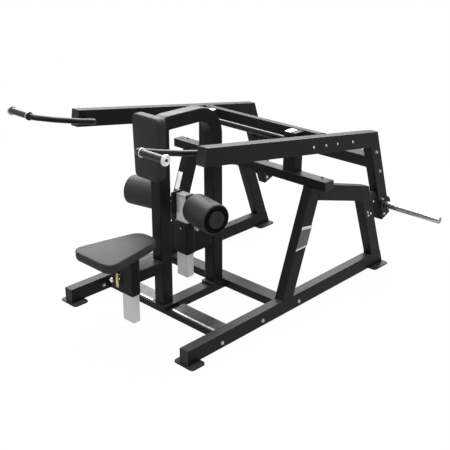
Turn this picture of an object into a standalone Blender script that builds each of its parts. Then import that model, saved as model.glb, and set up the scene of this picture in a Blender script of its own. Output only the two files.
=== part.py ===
"""Seated triceps machine, plate loaded, with a lever arm, a height-adjusted seat and leg rollers.

Metres, +Z up, +X to the right hand of the sitter, who faces +Y.
Lengths along Y are measured from the front ends of the base rails; the root empty moves the whole
machine so that its box is centred on the origin. The lever's two arms hang on one shaft across two
pivot posts, and each moving group is parented to an empty on its joint's axis.
"""
import math

import bmesh
import bpy
from mathutils import Matrix, Vector

# Overall
CENTRE_Y = 0.9114
GAP = 0.0003
WALL = 0.003
POST_WALL = 0.005
CORNER = 0.006

# Base and side frames, mirrored about X = 0
RAIL_X = 0.5645
TUBE_WIDTH = 0.071
RAIL_BOTTOM, RAIL_TOP = 0.010, 0.112
FOOT_WIDTH = 0.165
FRONT_FOOT_Y = (-0.014, 0.104)
REAR_FOOT_Y = (1.885, 2.062)
FRONT_BEAM_Y, FRONT_BEAM_Z = (0.332, 0.442), (0.010, 0.057)
REAR_BEAM_Y, REAR_BEAM_Z = (0.902, 1.011), (0.010, 0.071)
CENTRE_BEAM_WIDTH, CENTRE_BEAM_Z = 0.095, (0.012, 0.072)
LEG_DEPTH = 0.110
LEG_SLOPE = 0.351
LEG_FOOT = (0.9485, 0.187)
REAR_LEG_SLOPE = -0.379
REAR_LEG_EDGE_Y = 2.050
REAR_LEG_DEPTH = 0.106
TOP_BEAM_SLOPE = -0.285
TOP_BEAM_EDGE = (1.200, 0.733)
TOP_BEAM_DEPTH = 0.110
UPPER_BEAM_HALF = 0.700
UPPER_BEAM_Y, UPPER_BEAM_Z = (1.127, 1.215), (0.836, 0.900)

# Pivot and lever
PIVOT_Y, PIVOT_Z = 1.175, 1.100
POST_X = (0.345, 0.442)
POST_Y = (1.128, 1.214)
POST_TOP = 1.168
SHAFT_R = 0.015
BORE_R = 0.01508
ARM_X = 0.5695
ARM_DEPTH = 0.110
ARM_SLOPE = -0.1516
ARM_TOP_FRONT = (0.161, 1.325)
ARM_TOP_REAR = (1.840, 1.071)
ARM_LEG_SLOPE = -0.364
ARM_LEG_EDGE = (1.904, 0.905)
ARM_LEG_DEPTH = 0.105
ARM_LEG_END = (2.035, 0.386)
HANDLE_X = 0.465
HANDLE_R = 0.018
HANDLE_PATH_YZ = ((0.232, 1.250), (0.109, 1.276), (-0.070, 1.321), (-0.225, 1.366))
HANDLE_BENDS = (0.030, 0.45, 0.45, 0.030)
GRIP_X = (0.512, 0.682)
GRIP_R = 0.0205
COLLAR_R = 0.026
GRIP_CAP_R = 0.0365
HORN_Y, HORN_Z = 2.003, 0.487
HORN_R = 0.025
HORN_END_X = 1.062
HORN_FLANGE_R = 0.062

# Centre column
ARCH_SECTION = 0.092
ARCH_CORNER = 0.010
ARCH_LEG_Y = 0.3545
ARCH_TOP_Z = 1.307
ARCH_POST_Y = (0.832, 0.820)
ARCH_POST_LEAN = 0.0122
ARCH_BENDS = (0.050, 0.165)
LOWER_POST_Y, LOWER_POST_TOP = (0.3155, 0.4035), 0.410
FLANGE_TOP = 0.0875
SEAT_ARM_Z = (0.330, 0.408)
SEAT_SLEEVE_Y, SEAT_SLEEVE_Z = (0.043, 0.115), (0.255, 0.530)
SEAT_TUBE_Y, SEAT_TUBE_Z = (0.0505, 0.1075), (0.063, 0.532)
ROLLER_SLEEVE_Y, ROLLER_SLEEVE_Z = (0.522, 0.598), (0.385, 0.607)
ROLLER_TUBE_Y, ROLLER_TUBE_Z = (0.5300, 0.5900), (0.217, 0.790)
SEAT_TUBE_HALF, ROLLER_TUBE_HALF = 0.051, 0.050
SLEEVE_HALF, SLIDE_GAP = 0.0575, 0.0005
PIN_R, PIN_HOLE_R, PIN_CLEARANCE = 0.006, 0.0068, 0.0006
SEAT_PIN_Y, SEAT_PIN_Z, SEAT_HOLES, SEAT_PITCH = 0.079, 0.335, 4, 0.030
SEAT_HANDLE_XY, SEAT_HANDLE_Z, SEAT_HANDLE_R = (-0.062, 0.0238), (0.290, 0.386), 0.0085
SEAT_HANDLE_BOW = 0.004
PIN_BRACKET_X, PIN_BRACKET_Y, PIN_BRACKET_Z = -0.150, (0.043, 0.111), (0.255, 0.372)
PIN_BRACKET_PLATE = 0.005
ROLLER_PIN_Y, ROLLER_PIN_Z, ROLLER_HOLES, ROLLER_PITCH = 0.560, 0.583, 5, 0.030

# Leg rollers: their axes meet in the post's middle plane and lean towards the sitter
ROLLER_MEET_Y, ROLLER_Z = 0.5325, 0.757
ROLLER_LEAN = math.radians(12.0)
ROLLER_REACH = (0.1636, 0.4020)
ROLLER_R = 0.099
STUB_R, STUB_COLLAR_R, ROLLER_BORE_R = 0.0120, 0.0155, 0.01208
ROLLER_ARM_X, ROLLER_ARM_Z = (0.0503, 0.0623), (0.655, 0.806)
ROLLER_ARM_FRONT_Y, ROLLER_ARM_REAR_Y = {"left": 0.497, "right": 0.520}, 0.588

# Upholstery
SEAT_TOP, SEAT_THICK = 0.602, 0.058
SEAT_CORNERS = ((-0.183, -0.232), (0.183, -0.232), (0.106, 0.260), (-0.106, 0.260))
PAD_CORNERS = ((-0.106, 0.972), (0.106, 0.972), (0.122, 1.385), (-0.122, 1.385))
PAD_RADIUS, PAD_THICK = 0.034, 0.073

# Colour (linear), metallic, roughness
FINISHES = {
    "black_paint": ((0.016, 0.016, 0.017), 0.35, 0.38),
    "brushed_steel": ((0.55, 0.55, 0.56), 1.0, 0.34),
    "chrome": ((0.76, 0.76, 0.77), 1.0, 0.10),
    "silver_paint": ((0.52, 0.53, 0.54), 0.55, 0.36),
    "leather": ((0.030, 0.030, 0.032), 0.0, 0.48),
    "rubber": ((0.020, 0.020, 0.021), 0.0, 0.70),
    "yellow": ((0.72, 0.58, 0.06), 0.0, 0.42),
}
SIDES = (("left", -1), ("right", 1))
ORIGINS = {}


def empty(name, spot, parent=None):
    """Add an empty at a machine position, such as a joint's axis."""
    holder = bpy.data.objects.new(name, None)
    holder.empty_display_size = 0.05
    bpy.context.collection.objects.link(holder)
    ORIGINS[name] = Vector(spot)
    if parent is None:
        holder.location = (0.0, -CENTRE_Y, 0.0)
        ORIGINS[name] = Vector((0.0, 0.0, 0.0))
    else:
        holder.parent = parent
        holder.location = ORIGINS[name] - ORIGINS[parent.name]
    return holder


def finish(name, mesh, spot, parent, look):
    """Make the object of a mesh given in machine positions, with its origin at a spot."""
    spot = Vector(spot)
    mesh.transform(Matrix.Translation(-spot))
    colour, metallic, roughness = FINISHES[look]
    material = bpy.data.materials.new(f"{name}_{look}")
    material.use_nodes = True
    shader = material.node_tree.nodes["Principled BSDF"]
    shader.inputs["Base Color"].default_value = (*colour, 1.0)
    shader.inputs["Metallic"].default_value = metallic
    shader.inputs["Roughness"].default_value = roughness
    mesh.materials.append(material)
    mesh.shade_smooth()
    mesh.set_sharp_from_angle(angle=math.radians(32.0))
    obj = bpy.data.objects.new(name, mesh)
    bpy.context.collection.objects.link(obj)
    obj.parent = parent
    obj.location = spot - ORIGINS[parent.name]
    return obj


def boolean(obj, cutter, kind="DIFFERENCE"):
    """Cut or join an object by a hidden body."""
    cutter.hide_render = True
    cutter.display_type = "WIRE"
    step = obj.modifiers.new(cutter.name, "BOOLEAN")
    step.operation = kind
    step.solver = "EXACT"
    step.object = cutter


def loft(name, rings, closed=False):
    """Bridge rings of points into one body, either capped at both ends or closed on itself."""
    bm = bmesh.new()
    rows = [[bm.verts.new(point) for point in ring] for ring in rings]
    pairs = list(zip(rows, rows[1:]))
    if closed:
        pairs.append((rows[-1], rows[0]))
    for first, second in pairs:
        count = len(first)
        for i in range(count):
            j = (i + 1) % count
            bm.faces.new((first[i], first[j], second[j], second[i]))
    if not closed:
        bm.faces.new(rows[0])
        bm.faces.new(rows[-1])
    bmesh.ops.recalc_face_normals(bm, faces=bm.faces)
    mesh = bpy.data.meshes.new(name)
    bm.to_mesh(mesh)
    bm.free()
    return mesh


def rounded_section(width, depth, radius, steps=2):
    """Points of a rounded rectangle about its centre, one quarter circle a corner."""
    points = []
    for corner, (sx, sy) in enumerate(((1, 1), (-1, 1), (-1, -1), (1, -1))):
        for i in range(steps + 1):
            turn = math.pi / 2 * (corner + i / steps)
            points.append((sx * (width / 2 - radius) + radius * math.cos(turn),
                           sy * (depth / 2 - radius) + radius * math.sin(turn)))
    return points


def tube(name, start, end, section, cuts=(None, None), wall=None, shut=(False, False),
         across=(1, 0, 0), radius=CORNER):
    """A straight tube cut by two planes; a wall makes it hollow, open where it isn't shut."""
    start, end, across = Vector(start), Vector(end), Vector(across).normalized()
    along = (end - start).normalized()
    up = along.cross(across).normalized()
    planes = [cut or (spot, along) for cut, spot in zip(cuts, (start, end))]

    def ring(plane, inset=0.0, shift=0.0):
        point, normal = Vector(plane[0]), Vector(plane[1]).normalized()
        points = []
        for u, v in rounded_section(section[0] - 2 * inset, section[1] - 2 * inset,
                                    max(radius - inset, 0.0015)):
            base = start + across * u + up * v
            reach = (point - base).dot(normal) / along.dot(normal)
            points.append(base + along * (reach + shift))
        return points

    if wall is None:
        return loft(name, [ring(planes[0]), ring(planes[1])])
    if shut == (False, False):
        rings = [ring(planes[0]), ring(planes[1]), ring(planes[1], wall), ring(planes[0], wall)]
        return loft(name, rings, closed=True)
    if shut[0]:
        return loft(name, [ring(planes[0]), ring(planes[1]), ring(planes[1], wall),
                           ring(planes[0], wall, wall)])
    return loft(name, [ring(planes[1]), ring(planes[0]), ring(planes[0], wall),
                       ring(planes[1], wall, -wall)])


def closed_tube(name, start, end, section, parent, look, weep, far_normal):
    """A tube shut at both ends, hollowed by a cutter that leaves through a small weep hole."""
    mesh = tube(name, start, end, section, cuts=(None, (end, far_normal)))
    obj = finish(name, mesh, start, parent, look)
    start, end = Vector(start), Vector(end)
    along = (end - start).normalized()
    inner = tube(f"{name}_hollow", start + along * WALL, end,
                 (section[0] - 2 * WALL, section[1] - 2 * WALL), radius=0.002,
                 cuts=(None, (end - along * WALL, far_normal)))
    boolean(obj, finish(f"{name}_hollow", inner, start, parent, look))
    hole = turned(f"{name}_weep", [(0.0, 0.005), (0.012, 0.005)], weep, (0, 0, 1), 10)
    boolean(obj, finish(f"{name}_weep", hole, weep, parent, look))
    return obj


def turned(name, profile, spot, axis, count=24, closed=False):
    """Turn (distance, radius) pairs about an axis; closed makes a ring with a bore."""
    axis = Vector(axis).normalized()
    side = axis.orthogonal().normalized()
    if abs(axis.x) > 0.9:
        side = Vector((0, 0, 1))
    other = axis.cross(side)
    rings = []
    for reach, radius in profile:
        ring = []
        for i in range(count):
            turn = 2 * math.pi * i / count
            ring.append(Vector(spot) + axis * reach
                        + (side * math.cos(turn) + other * math.sin(turn)) * radius)
        rings.append(ring)
    return loft(name, rings, closed)


def round_bends(points, radii, steps=8):
    """A path through corner points with each inner corner turned into an arc."""
    path = [Vector(points[0])]
    for before, corner, after, radius in zip(points, points[1:], points[2:], radii):
        before, corner, after = Vector(before), Vector(corner), Vector(after)
        inward, outward = (before - corner).normalized(), (after - corner).normalized()
        half = inward.angle(outward) / 2
        reach = radius / math.tan(half)
        centre = corner + (inward + outward).normalized() * (radius / math.sin(half))
        first, last = corner + inward * reach - centre, corner + outward * reach - centre
        swing = math.pi - 2 * half
        normal = first.cross(last).normalized()
        for i in range(steps + 1):
            path.append(centre + Matrix.Rotation(swing * i / steps, 3, normal) @ first)
    path.append(Vector(points[-1]))
    return path


def sweep(name, path, section, across, wall_section=None):
    """Carry a section along a path, mitred at each point; a second section bores it out."""
    across = Vector(across)
    outer, inner = [], []
    for i, point in enumerate(path):
        ahead = (path[min(i + 1, len(path) - 1)] - point).normalized()
        behind = (point - path[max(i - 1, 0)]).normalized()
        along = ahead if i == 0 else behind if i == len(path) - 1 else (ahead + behind).normalized()
        stretch = 1.0 if i in (0, len(path) - 1) else 1.0 / max(along.dot(ahead), 0.2)
        side = (across - along * across.dot(along)).normalized()
        up = along.cross(side).normalized()
        outer.append([point + side * u + up * v * stretch for u, v in section])
        if wall_section:
            inner.append([point + side * u + up * v * stretch for u, v in wall_section])
    if not inner:
        return loft(name, outer)
    return loft(name, outer + inner[::-1], closed=True)


def circle(radius, count=16):
    """Points of a circle about its centre."""
    return [(radius * math.cos(2 * math.pi * i / count), radius * math.sin(2 * math.pi * i / count))
            for i in range(count)]


def plate(name, corners, radius, low, high, axis="z", steps=3):
    """A flat plate with rounded corners; its outline lies in XY, or in XZ for axis y, YZ for x."""
    outline = rounded_outline(corners, [radius] * len(corners), 0.0, steps, 0)
    place = {"z": lambda u, v, w: (u, v, w), "y": lambda u, v, w: (u, w, v),
             "x": lambda u, v, w: (w, u, v)}[axis]
    return loft(name, [[place(u, v, level) for u, v in outline] for level in (low, high)])


def rounded_outline(corners, radii, inset, steps, side_points, waist=0.0):
    """Outline of a polygon with rounded corners, moved inwards, its sides drawn in by a waist."""
    points = []
    total = len(corners)
    arcs = []
    for k in range(total):
        here = Vector(corners[k])
        inward = (Vector(corners[k - 1]) - here).normalized()
        outward = (Vector(corners[(k + 1) % total]) - here).normalized()
        half = math.acos(max(-1.0, min(1.0, inward.dot(outward)))) / 2
        centre = here + (inward + outward).normalized() * (radii[k] / math.sin(half))
        first = here + inward * (radii[k] / math.tan(half)) - centre
        last = here + outward * (radii[k] / math.tan(half)) - centre
        arc = []
        swing = math.pi - 2 * half
        sense = 1 if first.cross(last) > 0 else -1
        keep = (radii[k] - inset) / radii[k]
        for i in range(steps + 1):
            turn = sense * swing * i / steps
            arc.append(centre + Vector((first.x * math.cos(turn) - first.y * math.sin(turn),
                                        first.x * math.sin(turn) + first.y * math.cos(turn))) * keep)
        arcs.append(arc)
    for k, arc in enumerate(arcs):
        points.extend(arc)
        ahead = arcs[(k + 1) % total][0]
        run = ahead - arc[-1]
        normal = Vector((-run.y, run.x)).normalized()
        for i in range(side_points):
            share = (i + 1) / (side_points + 1)
            points.append(arc[-1] + run * share + normal * waist * math.sin(math.pi * share))
    return points


def cushion(name, corners, radii, thick, place):
    """A padded block on a flat back: rounded edges, drawn-in sides and a crowned face."""
    levels = ((0.000, 0.0075, 0.000), (0.004, 0.0025, 0.001), (0.012, 0.000, 0.0015),
              (thick - 0.016, 0.000, 0.0015), (thick - 0.008, 0.0022, 0.001),
              (thick - 0.003, 0.0070, 0.0005), (thick - 0.001, 0.0135, 0.0))
    rings = []
    for height, inset, waist in levels:
        outline = rounded_outline(corners, radii, inset, 6, 6, waist)
        rings.append([place(p.x, p.y, height) for p in outline])
    middle = sum((Vector(corner) for corner in corners), Vector((0, 0))) / len(corners)
    rim = rounded_outline(corners, radii, 0.0135, 6, 6, 0.0)
    for share, crown in ((0.80, 0.0022), (0.55, 0.0045), (0.28, 0.0058)):
        rings.append([place(*(middle + (p - middle) * share), thick - 0.001 + crown) for p in rim])
    return loft(name, rings)


def build_base(root):
    """Two rails on four foot plates, joined by two cross beams and a centre beam."""
    middle = (RAIL_BOTTOM + RAIL_TOP) / 2
    for word, side in SIDES:
        x = side * RAIL_X
        closed_tube(f"{word}_base_rail", (x, 0.0, middle), (x, rear_leg_edge(middle), middle),
                    (TUBE_WIDTH, RAIL_TOP - RAIL_BOTTOM), root, "black_paint",
                    (x, 0.20, RAIL_BOTTOM - 0.002), (0, 1, -REAR_LEG_SLOPE))
        for end, (low, high) in (("front", FRONT_FOOT_Y), ("rear", REAR_FOOT_Y)):
            half = FOOT_WIDTH / 2
            outline = ((x - half, low), (x + half, low), (x + half, high), (x - half, high))
            name = f"{word}_{end}_foot"
            finish(name, plate(name, outline, 0.022, 0.0, RAIL_BOTTOM - GAP),
                   (x, (low + high) / 2, 0.0), root, "black_paint")
    inner = RAIL_X - TUBE_WIDTH / 2 - GAP
    for name, (y0, y1), (z0, z1) in (("front_cross_beam", FRONT_BEAM_Y, FRONT_BEAM_Z),
                                     ("rear_cross_beam", REAR_BEAM_Y, REAR_BEAM_Z)):
        y, z = (y0 + y1) / 2, (z0 + z1) / 2
        beam = tube(name, (-inner, y, z), (inner, y, z), (y1 - y0, z1 - z0), wall=WALL,
                    across=(0, 1, 0))
        finish(name, beam, (0, y, z), root, "black_paint")
    z = sum(CENTRE_BEAM_Z) / 2
    beam = tube("centre_beam", (0, FRONT_BEAM_Y[1] + GAP, z), (0, REAR_BEAM_Y[0] - GAP, z),
                (CENTRE_BEAM_WIDTH, CENTRE_BEAM_Z[1] - CENTRE_BEAM_Z[0]), wall=WALL)
    finish("centre_beam", beam, (0, FRONT_BEAM_Y[1], z), root, "black_paint")
    build_tread_plates(root)


def build_tread_plates(root):
    """Folded foot plates on the front cross beam, each with a raised front lip."""
    base = FRONT_BEAM_Z[1] + GAP
    for word, side in SIDES:
        name = f"{word}_tread_plate"
        profile = [(0.345, base), (0.458, base), (0.458, base + 0.003), (0.352, base + 0.003),
                   (0.350, base + 0.008), (0.3445, base + 0.008), (0.3425, base + 0.004)]
        ends = [side * 0.086, side * 0.500]
        mesh = loft(name, [[(x, y, z) for y, z in profile] for x in ends])
        finish(name, mesh, (side * 0.293, 0.40, base), root, "brushed_steel")


def front_leg_y(z):
    return LEG_FOOT[0] + LEG_SLOPE * (z - LEG_FOOT[1])


def rear_leg_edge(z):
    return REAR_LEG_EDGE_Y + REAR_LEG_SLOPE * z


def build_side_frames(root):
    """The trapezoid on each rail: a leaning front leg, a sloping top beam and a rear leg."""
    cos_leg = math.cos(math.atan(LEG_SLOPE))
    cos_rear = math.cos(math.atan(REAR_LEG_SLOPE))
    cos_top = math.cos(math.atan(TOP_BEAM_SLOPE))
    rail = RAIL_TOP + GAP
    rear_shift = REAR_LEG_DEPTH / cos_rear
    outer_y = (TOP_BEAM_EDGE[1] + TOP_BEAM_DEPTH / cos_top - TOP_BEAM_SLOPE * TOP_BEAM_EDGE[0])
    corner_z = (outer_y + TOP_BEAM_SLOPE * REAR_LEG_EDGE_Y) / (1 - TOP_BEAM_SLOPE * REAR_LEG_SLOPE)
    corner = Vector((0, rear_leg_edge(corner_z), corner_z))
    low = TOP_BEAM_EDGE[1] - TOP_BEAM_SLOPE * TOP_BEAM_EDGE[0]
    inner_z = ((low + TOP_BEAM_SLOPE * (REAR_LEG_EDGE_Y - rear_shift))
               / (1 - TOP_BEAM_SLOPE * REAR_LEG_SLOPE))
    inner = Vector((0, rear_leg_edge(inner_z) - rear_shift, inner_z))
    mitre = (corner - inner).cross(Vector((1, 0, 0))).normalized()
    if mitre.y < 0:
        mitre.negate()
    for word, side in SIDES:
        x = side * RAIL_X
        name = f"{word}_front_leg"
        top = UPPER_BEAM_Z[0] - GAP
        start, end = (x, front_leg_y(rail), rail), (x, front_leg_y(top), top)
        leg = tube(name, start, end, (TUBE_WIDTH, LEG_DEPTH), wall=WALL,
                   cuts=((start, (0, 0, 1)), (end, (0, 0, 1))))
        finish(name, leg, start, root, "black_paint")

        name = f"{word}_top_beam"
        middle = TOP_BEAM_EDGE[1] + TOP_BEAM_DEPTH / cos_top / 2
        face_y = front_leg_y(middle) + LEG_DEPTH / cos_leg / 2 + GAP / cos_leg
        start = (x, face_y, middle + TOP_BEAM_SLOPE * (face_y - TOP_BEAM_EDGE[0]))
        end = (x, corner.y, middle + TOP_BEAM_SLOPE * (corner.y - TOP_BEAM_EDGE[0]))
        spot_y = front_leg_y(start[2]) + LEG_DEPTH / cos_leg / 2 + GAP / cos_leg
        beam = tube(name, start, end, (TUBE_WIDTH, TOP_BEAM_DEPTH), wall=WALL,
                    cuts=(((x, spot_y, start[2]), (0, 1, -LEG_SLOPE)),
                          (corner - mitre * GAP / 2, mitre)))
        finish(name, beam, start, root, "black_paint")

        name = f"{word}_rear_leg"
        start = (x, rear_leg_edge(rail) - rear_shift / 2, rail)
        end = (x, rear_leg_edge(corner_z) - rear_shift / 2, corner_z)
        leg = tube(name, start, end, (TUBE_WIDTH, REAR_LEG_DEPTH), wall=WALL,
                   cuts=((start, (0, 0, 1)), (corner + mitre * GAP / 2, mitre)))
        finish(name, leg, start, root, "black_paint")

    y, z = sum(UPPER_BEAM_Y) / 2, sum(UPPER_BEAM_Z) / 2
    beam = tube("upper_cross_beam", (-UPPER_BEAM_HALF, y, z), (UPPER_BEAM_HALF, y, z),
                (UPPER_BEAM_Y[1] - UPPER_BEAM_Y[0], UPPER_BEAM_Z[1] - UPPER_BEAM_Z[0]),
                across=(0, 1, 0))
    obj = finish("upper_cross_beam", beam, (0, y, z), root, "black_paint")
    hollow = tube("upper_beam_hollow", (-UPPER_BEAM_HALF + WALL, y, z), (UPPER_BEAM_HALF - WALL, y, z),
                  (UPPER_BEAM_Y[1] - UPPER_BEAM_Y[0] - 2 * WALL,
                   UPPER_BEAM_Z[1] - UPPER_BEAM_Z[0] - 2 * WALL), across=(0, 1, 0), radius=0.002)
    boolean(obj, finish("upper_beam_hollow", hollow, (0, y, z), root, "black_paint"))
    for word, side in SIDES:
        spot = (side * 0.650, 1.165, UPPER_BEAM_Z[1] - 0.010)
        hole = turned(f"{word}_beam_hole", [(0.0, 0.007), (0.020, 0.007)], spot, (0, 0, 1), 12)
        boolean(obj, finish(f"{word}_beam_hole", hole, spot, root, "black_paint"))


def build_bumpers(root):
    """A bracket on each rear leg carries a rubber block that the resting lever leans on."""
    height = 0.560
    lean = math.atan(-REAR_LEG_SLOPE)
    out = Vector((0, math.cos(lean), math.sin(lean)))
    foot = Vector((0, rear_leg_edge(height), height))
    gap_ahead = arm_leg_front(height) - rear_leg_edge(height)
    reach = gap_ahead * math.cos(lean) - 0.001
    for word, side in SIDES:
        shift = Vector((side * RAIL_X, 0, 0))
        name = f"{word}_bumper_bracket"
        start = foot + shift + out * GAP
        end = foot + shift + out * (reach - 0.030)
        mesh = tube(name, start, end, (0.050, 0.060), wall=WALL)
        finish(name, mesh, start, root, "black_paint")
        name = f"{word}_bumper"
        start = end + out * GAP
        profile = [(0.0, 0.024), (0.019, 0.024), (0.026, 0.020), (0.0285, 0.012)]
        finish(name, turned(name, profile, start, out, 24), start, root, "rubber")


def build_pivot(root):
    """Posts on the upper beam carry a shaft that passes through them to the lever's hubs."""
    y, x = sum(POST_Y) / 2, sum(POST_X) / 2
    for word, side in SIDES:
        name = f"{word}_pivot_post"
        start, end = (side * x, y, UPPER_BEAM_Z[1] + GAP), (side * x, y, POST_TOP)
        mesh = tube(name, start, end, (POST_X[1] - POST_X[0], POST_Y[1] - POST_Y[0]),
                    wall=POST_WALL, shut=(False, True))
        post = finish(name, mesh, start, root, "black_paint")
        spot = (side * x, PIVOT_Y, PIVOT_Z)
        bore = turned(f"{word}_post_bore", [(-0.08, SHAFT_R + GAP + 0.0001), (0.08, SHAFT_R + GAP + 0.0001)],
                      spot, (1, 0, 0), 32)
        boolean(post, finish(f"{word}_post_bore", bore, spot, root, "black_paint"))
    inner, tip = POST_X[0] - GAP, HUB_X[1] - 0.004
    profile = [(-tip, SHAFT_R - 0.0015), (-tip + 0.0015, SHAFT_R), (-inner - 0.0001, SHAFT_R),
               (-inner, 0.020), (inner, 0.020), (inner + 0.0001, SHAFT_R), (tip - 0.0015, SHAFT_R),
               (tip, SHAFT_R - 0.0015)]
    spot = (0, PIVOT_Y, PIVOT_Z)
    finish("pivot_shaft", turned("pivot_shaft", profile, spot, (1, 0, 0), 32), spot, root,
           "brushed_steel")


HUB_X = (0.452, 0.5237)
PLATE_X = (0.5237, ARM_X - TUBE_WIDTH / 2 - GAP)


def arm_top(y):
    return ARM_TOP_FRONT[1] + ARM_SLOPE * (y - ARM_TOP_FRONT[0])


def arm_leg_edge(z):
    return ARM_LEG_EDGE[0] + ARM_LEG_SLOPE * (z - ARM_LEG_EDGE[1])


def arm_leg_front(z):
    return arm_leg_edge(z) - ARM_LEG_DEPTH / math.cos(math.atan(ARM_LEG_SLOPE))


def build_arms(lever):
    """Each arm runs the length of the machine and turns down into a leg at the rear."""
    along = Vector((0, 1, ARM_SLOPE)).normalized()
    square = Vector((0, -along.z, along.y))
    down = Vector((0, -ARM_LEG_SLOPE, -1)).normalized()
    cos_leg = math.cos(math.atan(ARM_LEG_SLOPE))
    corner = Vector((0, ARM_TOP_REAR[0], arm_top(ARM_TOP_REAR[0])))
    front = Vector((0, *ARM_TOP_FRONT)) - square * ARM_DEPTH / 2
    low = ARM_TOP_FRONT[1] - ARM_DEPTH / along.y - ARM_SLOPE * ARM_TOP_FRONT[0]
    shift = ARM_LEG_DEPTH / cos_leg
    edge = ARM_LEG_EDGE[0] - shift - ARM_LEG_SLOPE * ARM_LEG_EDGE[1]
    inner_z = (low + ARM_SLOPE * edge) / (1 - ARM_SLOPE * ARM_LEG_SLOPE)
    inner = Vector((0, edge + ARM_LEG_SLOPE * inner_z, inner_z))
    outer_z = ((ARM_TOP_FRONT[1] - ARM_SLOPE * ARM_TOP_FRONT[0] + ARM_SLOPE * (edge + shift))
               / (1 - ARM_SLOPE * ARM_LEG_SLOPE))
    corner = Vector((0, edge + shift + ARM_LEG_SLOPE * outer_z, outer_z))
    mitre = (corner - inner).cross(Vector((1, 0, 0))).normalized()
    if mitre.y < 0:
        mitre.negate()
    for word, side in SIDES:
        x = Vector((side * ARM_X, 0, 0))
        name = f"{word}_arm"
        mesh = tube(name, front + x, front + x + along * 1.5, (TUBE_WIDTH, ARM_DEPTH), wall=WALL,
                    shut=(True, False), cuts=(None, (corner - mitre * GAP / 2, mitre)))
        finish(name, mesh, ORIGINS[lever.name], lever, "black_paint")
        name = f"{word}_arm_leg"
        start = Vector((0, *ARM_LEG_END)) + x
        mesh = tube(name, start, start - down * 0.7, (TUBE_WIDTH, ARM_LEG_DEPTH), wall=WALL,
                    shut=(True, False), cuts=(None, (corner + mitre * GAP / 2, mitre)))
        finish(name, mesh, ORIGINS[lever.name], lever, "black_paint")


def build_lever(lever):
    """Arms, hub plates, bridge tubes, handles and weight horns: all that turns on the shaft."""
    build_arms(lever)
    along = Vector((0, 1, ARM_SLOPE)).normalized()
    square = Vector((0, -along.z, along.y))
    down = Vector((0, -ARM_LEG_SLOPE, -1)).normalized()
    pivot = Vector((0, PIVOT_Y, PIVOT_Z))
    centre = Vector((0, 1.240, arm_top(1.240))) - square * ARM_DEPTH / 2
    for word, side in SIDES:
        name = f"{word}_hub_plate"
        low, high = sorted((side * PLATE_X[0], side * PLATE_X[1]))
        corners = [centre + along * u + square * v for u, v in
                   ((-0.155, -0.050), (0.155, -0.050), (0.155, 0.050), (-0.155, 0.050))]
        outline = [(p.y, p.z) for p in corners]
        plate_body = finish(name, plate(name, outline, 0.012, low, high, "x"), pivot, lever,
                            "black_paint")
        spot = (side * HUB_X[0], PIVOT_Y, PIVOT_Z)
        length = HUB_X[1] - HUB_X[0] + 0.004
        hub = turned(f"{name}_hub", [(0, 0.036), (0.002, 0.038), (length, 0.038)], spot,
                     (side, 0, 0), 32)
        boolean(plate_body, finish(f"{name}_hub", hub, spot, lever, "black_paint"), "UNION")
        bore = turned(f"{name}_bore", [(-0.01, BORE_R), (HUB_X[1] - HUB_X[0] - 0.001, BORE_R)],
                      spot, (side, 0, 0), 32)
        boolean(plate_body, finish(f"{name}_bore", bore, spot, lever, "black_paint"))
    inner = PLATE_X[0] - GAP
    middle = Vector((0, 1.310, arm_top(1.310))) - square * 0.0535
    beam = tube("front_bridge_tube", middle - Vector((inner, 0, 0)), middle + Vector((inner, 0, 0)),
                (0.070, 0.105), wall=WALL, across=along)
    finish("front_bridge_tube", beam, pivot, lever, "black_paint")
    inner = ARM_X - TUBE_WIDTH / 2 - GAP
    middle = Vector((0, 1.870, 0.845))
    beam = tube("rear_bridge_tube", middle - Vector((inner, 0, 0)), middle + Vector((inner, 0, 0)),
                (0.100, 0.071), wall=WALL, across=down)
    finish("rear_bridge_tube", beam, pivot, lever, "black_paint")
    build_handles(lever)
    build_horns(lever)


def build_handles(lever):
    """Bent tubes from the arms' inner faces, each turned out into a grip with an end disc."""
    for word, side in SIDES:
        name = f"{word}_handle"
        end_y, end_z = HANDLE_PATH_YZ[-1]
        points = [(side * (ARM_X - TUBE_WIDTH / 2 - GAP), *HANDLE_PATH_YZ[0])]
        points += [(side * HANDLE_X, y, z) for y, z in HANDLE_PATH_YZ]
        points.append((side * (GRIP_X[1] + 0.004), end_y, end_z))
        path = round_bends(points, HANDLE_BENDS, 4)
        ring = circle(HANDLE_R, 16)
        mesh = sweep(name, path, ring, (0.31, 0.42, 0.85), wall_section=circle(HANDLE_R - WALL, 16))
        finish(name, mesh, (side * HANDLE_X, *HANDLE_PATH_YZ[0]), lever, "black_paint")
        name = f"{word}_grip"
        spot = (side * GRIP_X[0], end_y, end_z)
        length, bore = GRIP_X[1] - GRIP_X[0], HANDLE_R + GAP + 0.0002
        profile = [(0, bore), (0, COLLAR_R - 0.002), (0.002, COLLAR_R), (0.009, COLLAR_R),
                   (0.011, GRIP_R), (length - 0.002, GRIP_R), (length, GRIP_R - 0.0015),
                   (length, bore)]
        mesh = turned(name, profile, spot, (side, 0, 0), 24, closed=True)
        finish(name, mesh, spot, lever, "rubber")
        name = f"{word}_grip_cap"
        spot = (side * (GRIP_X[1] + 0.0045), end_y, end_z)
        profile = [(0, GRIP_CAP_R - 0.002), (0.002, GRIP_CAP_R), (0.009, GRIP_CAP_R),
                   (0.012, GRIP_CAP_R - 0.003), (0.012, 0.0105), (0.005, 0.0095)]
        mesh = turned(name, profile, spot, (side, 0, 0), 28)
        finish(name, mesh, spot, lever, "chrome")


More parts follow.
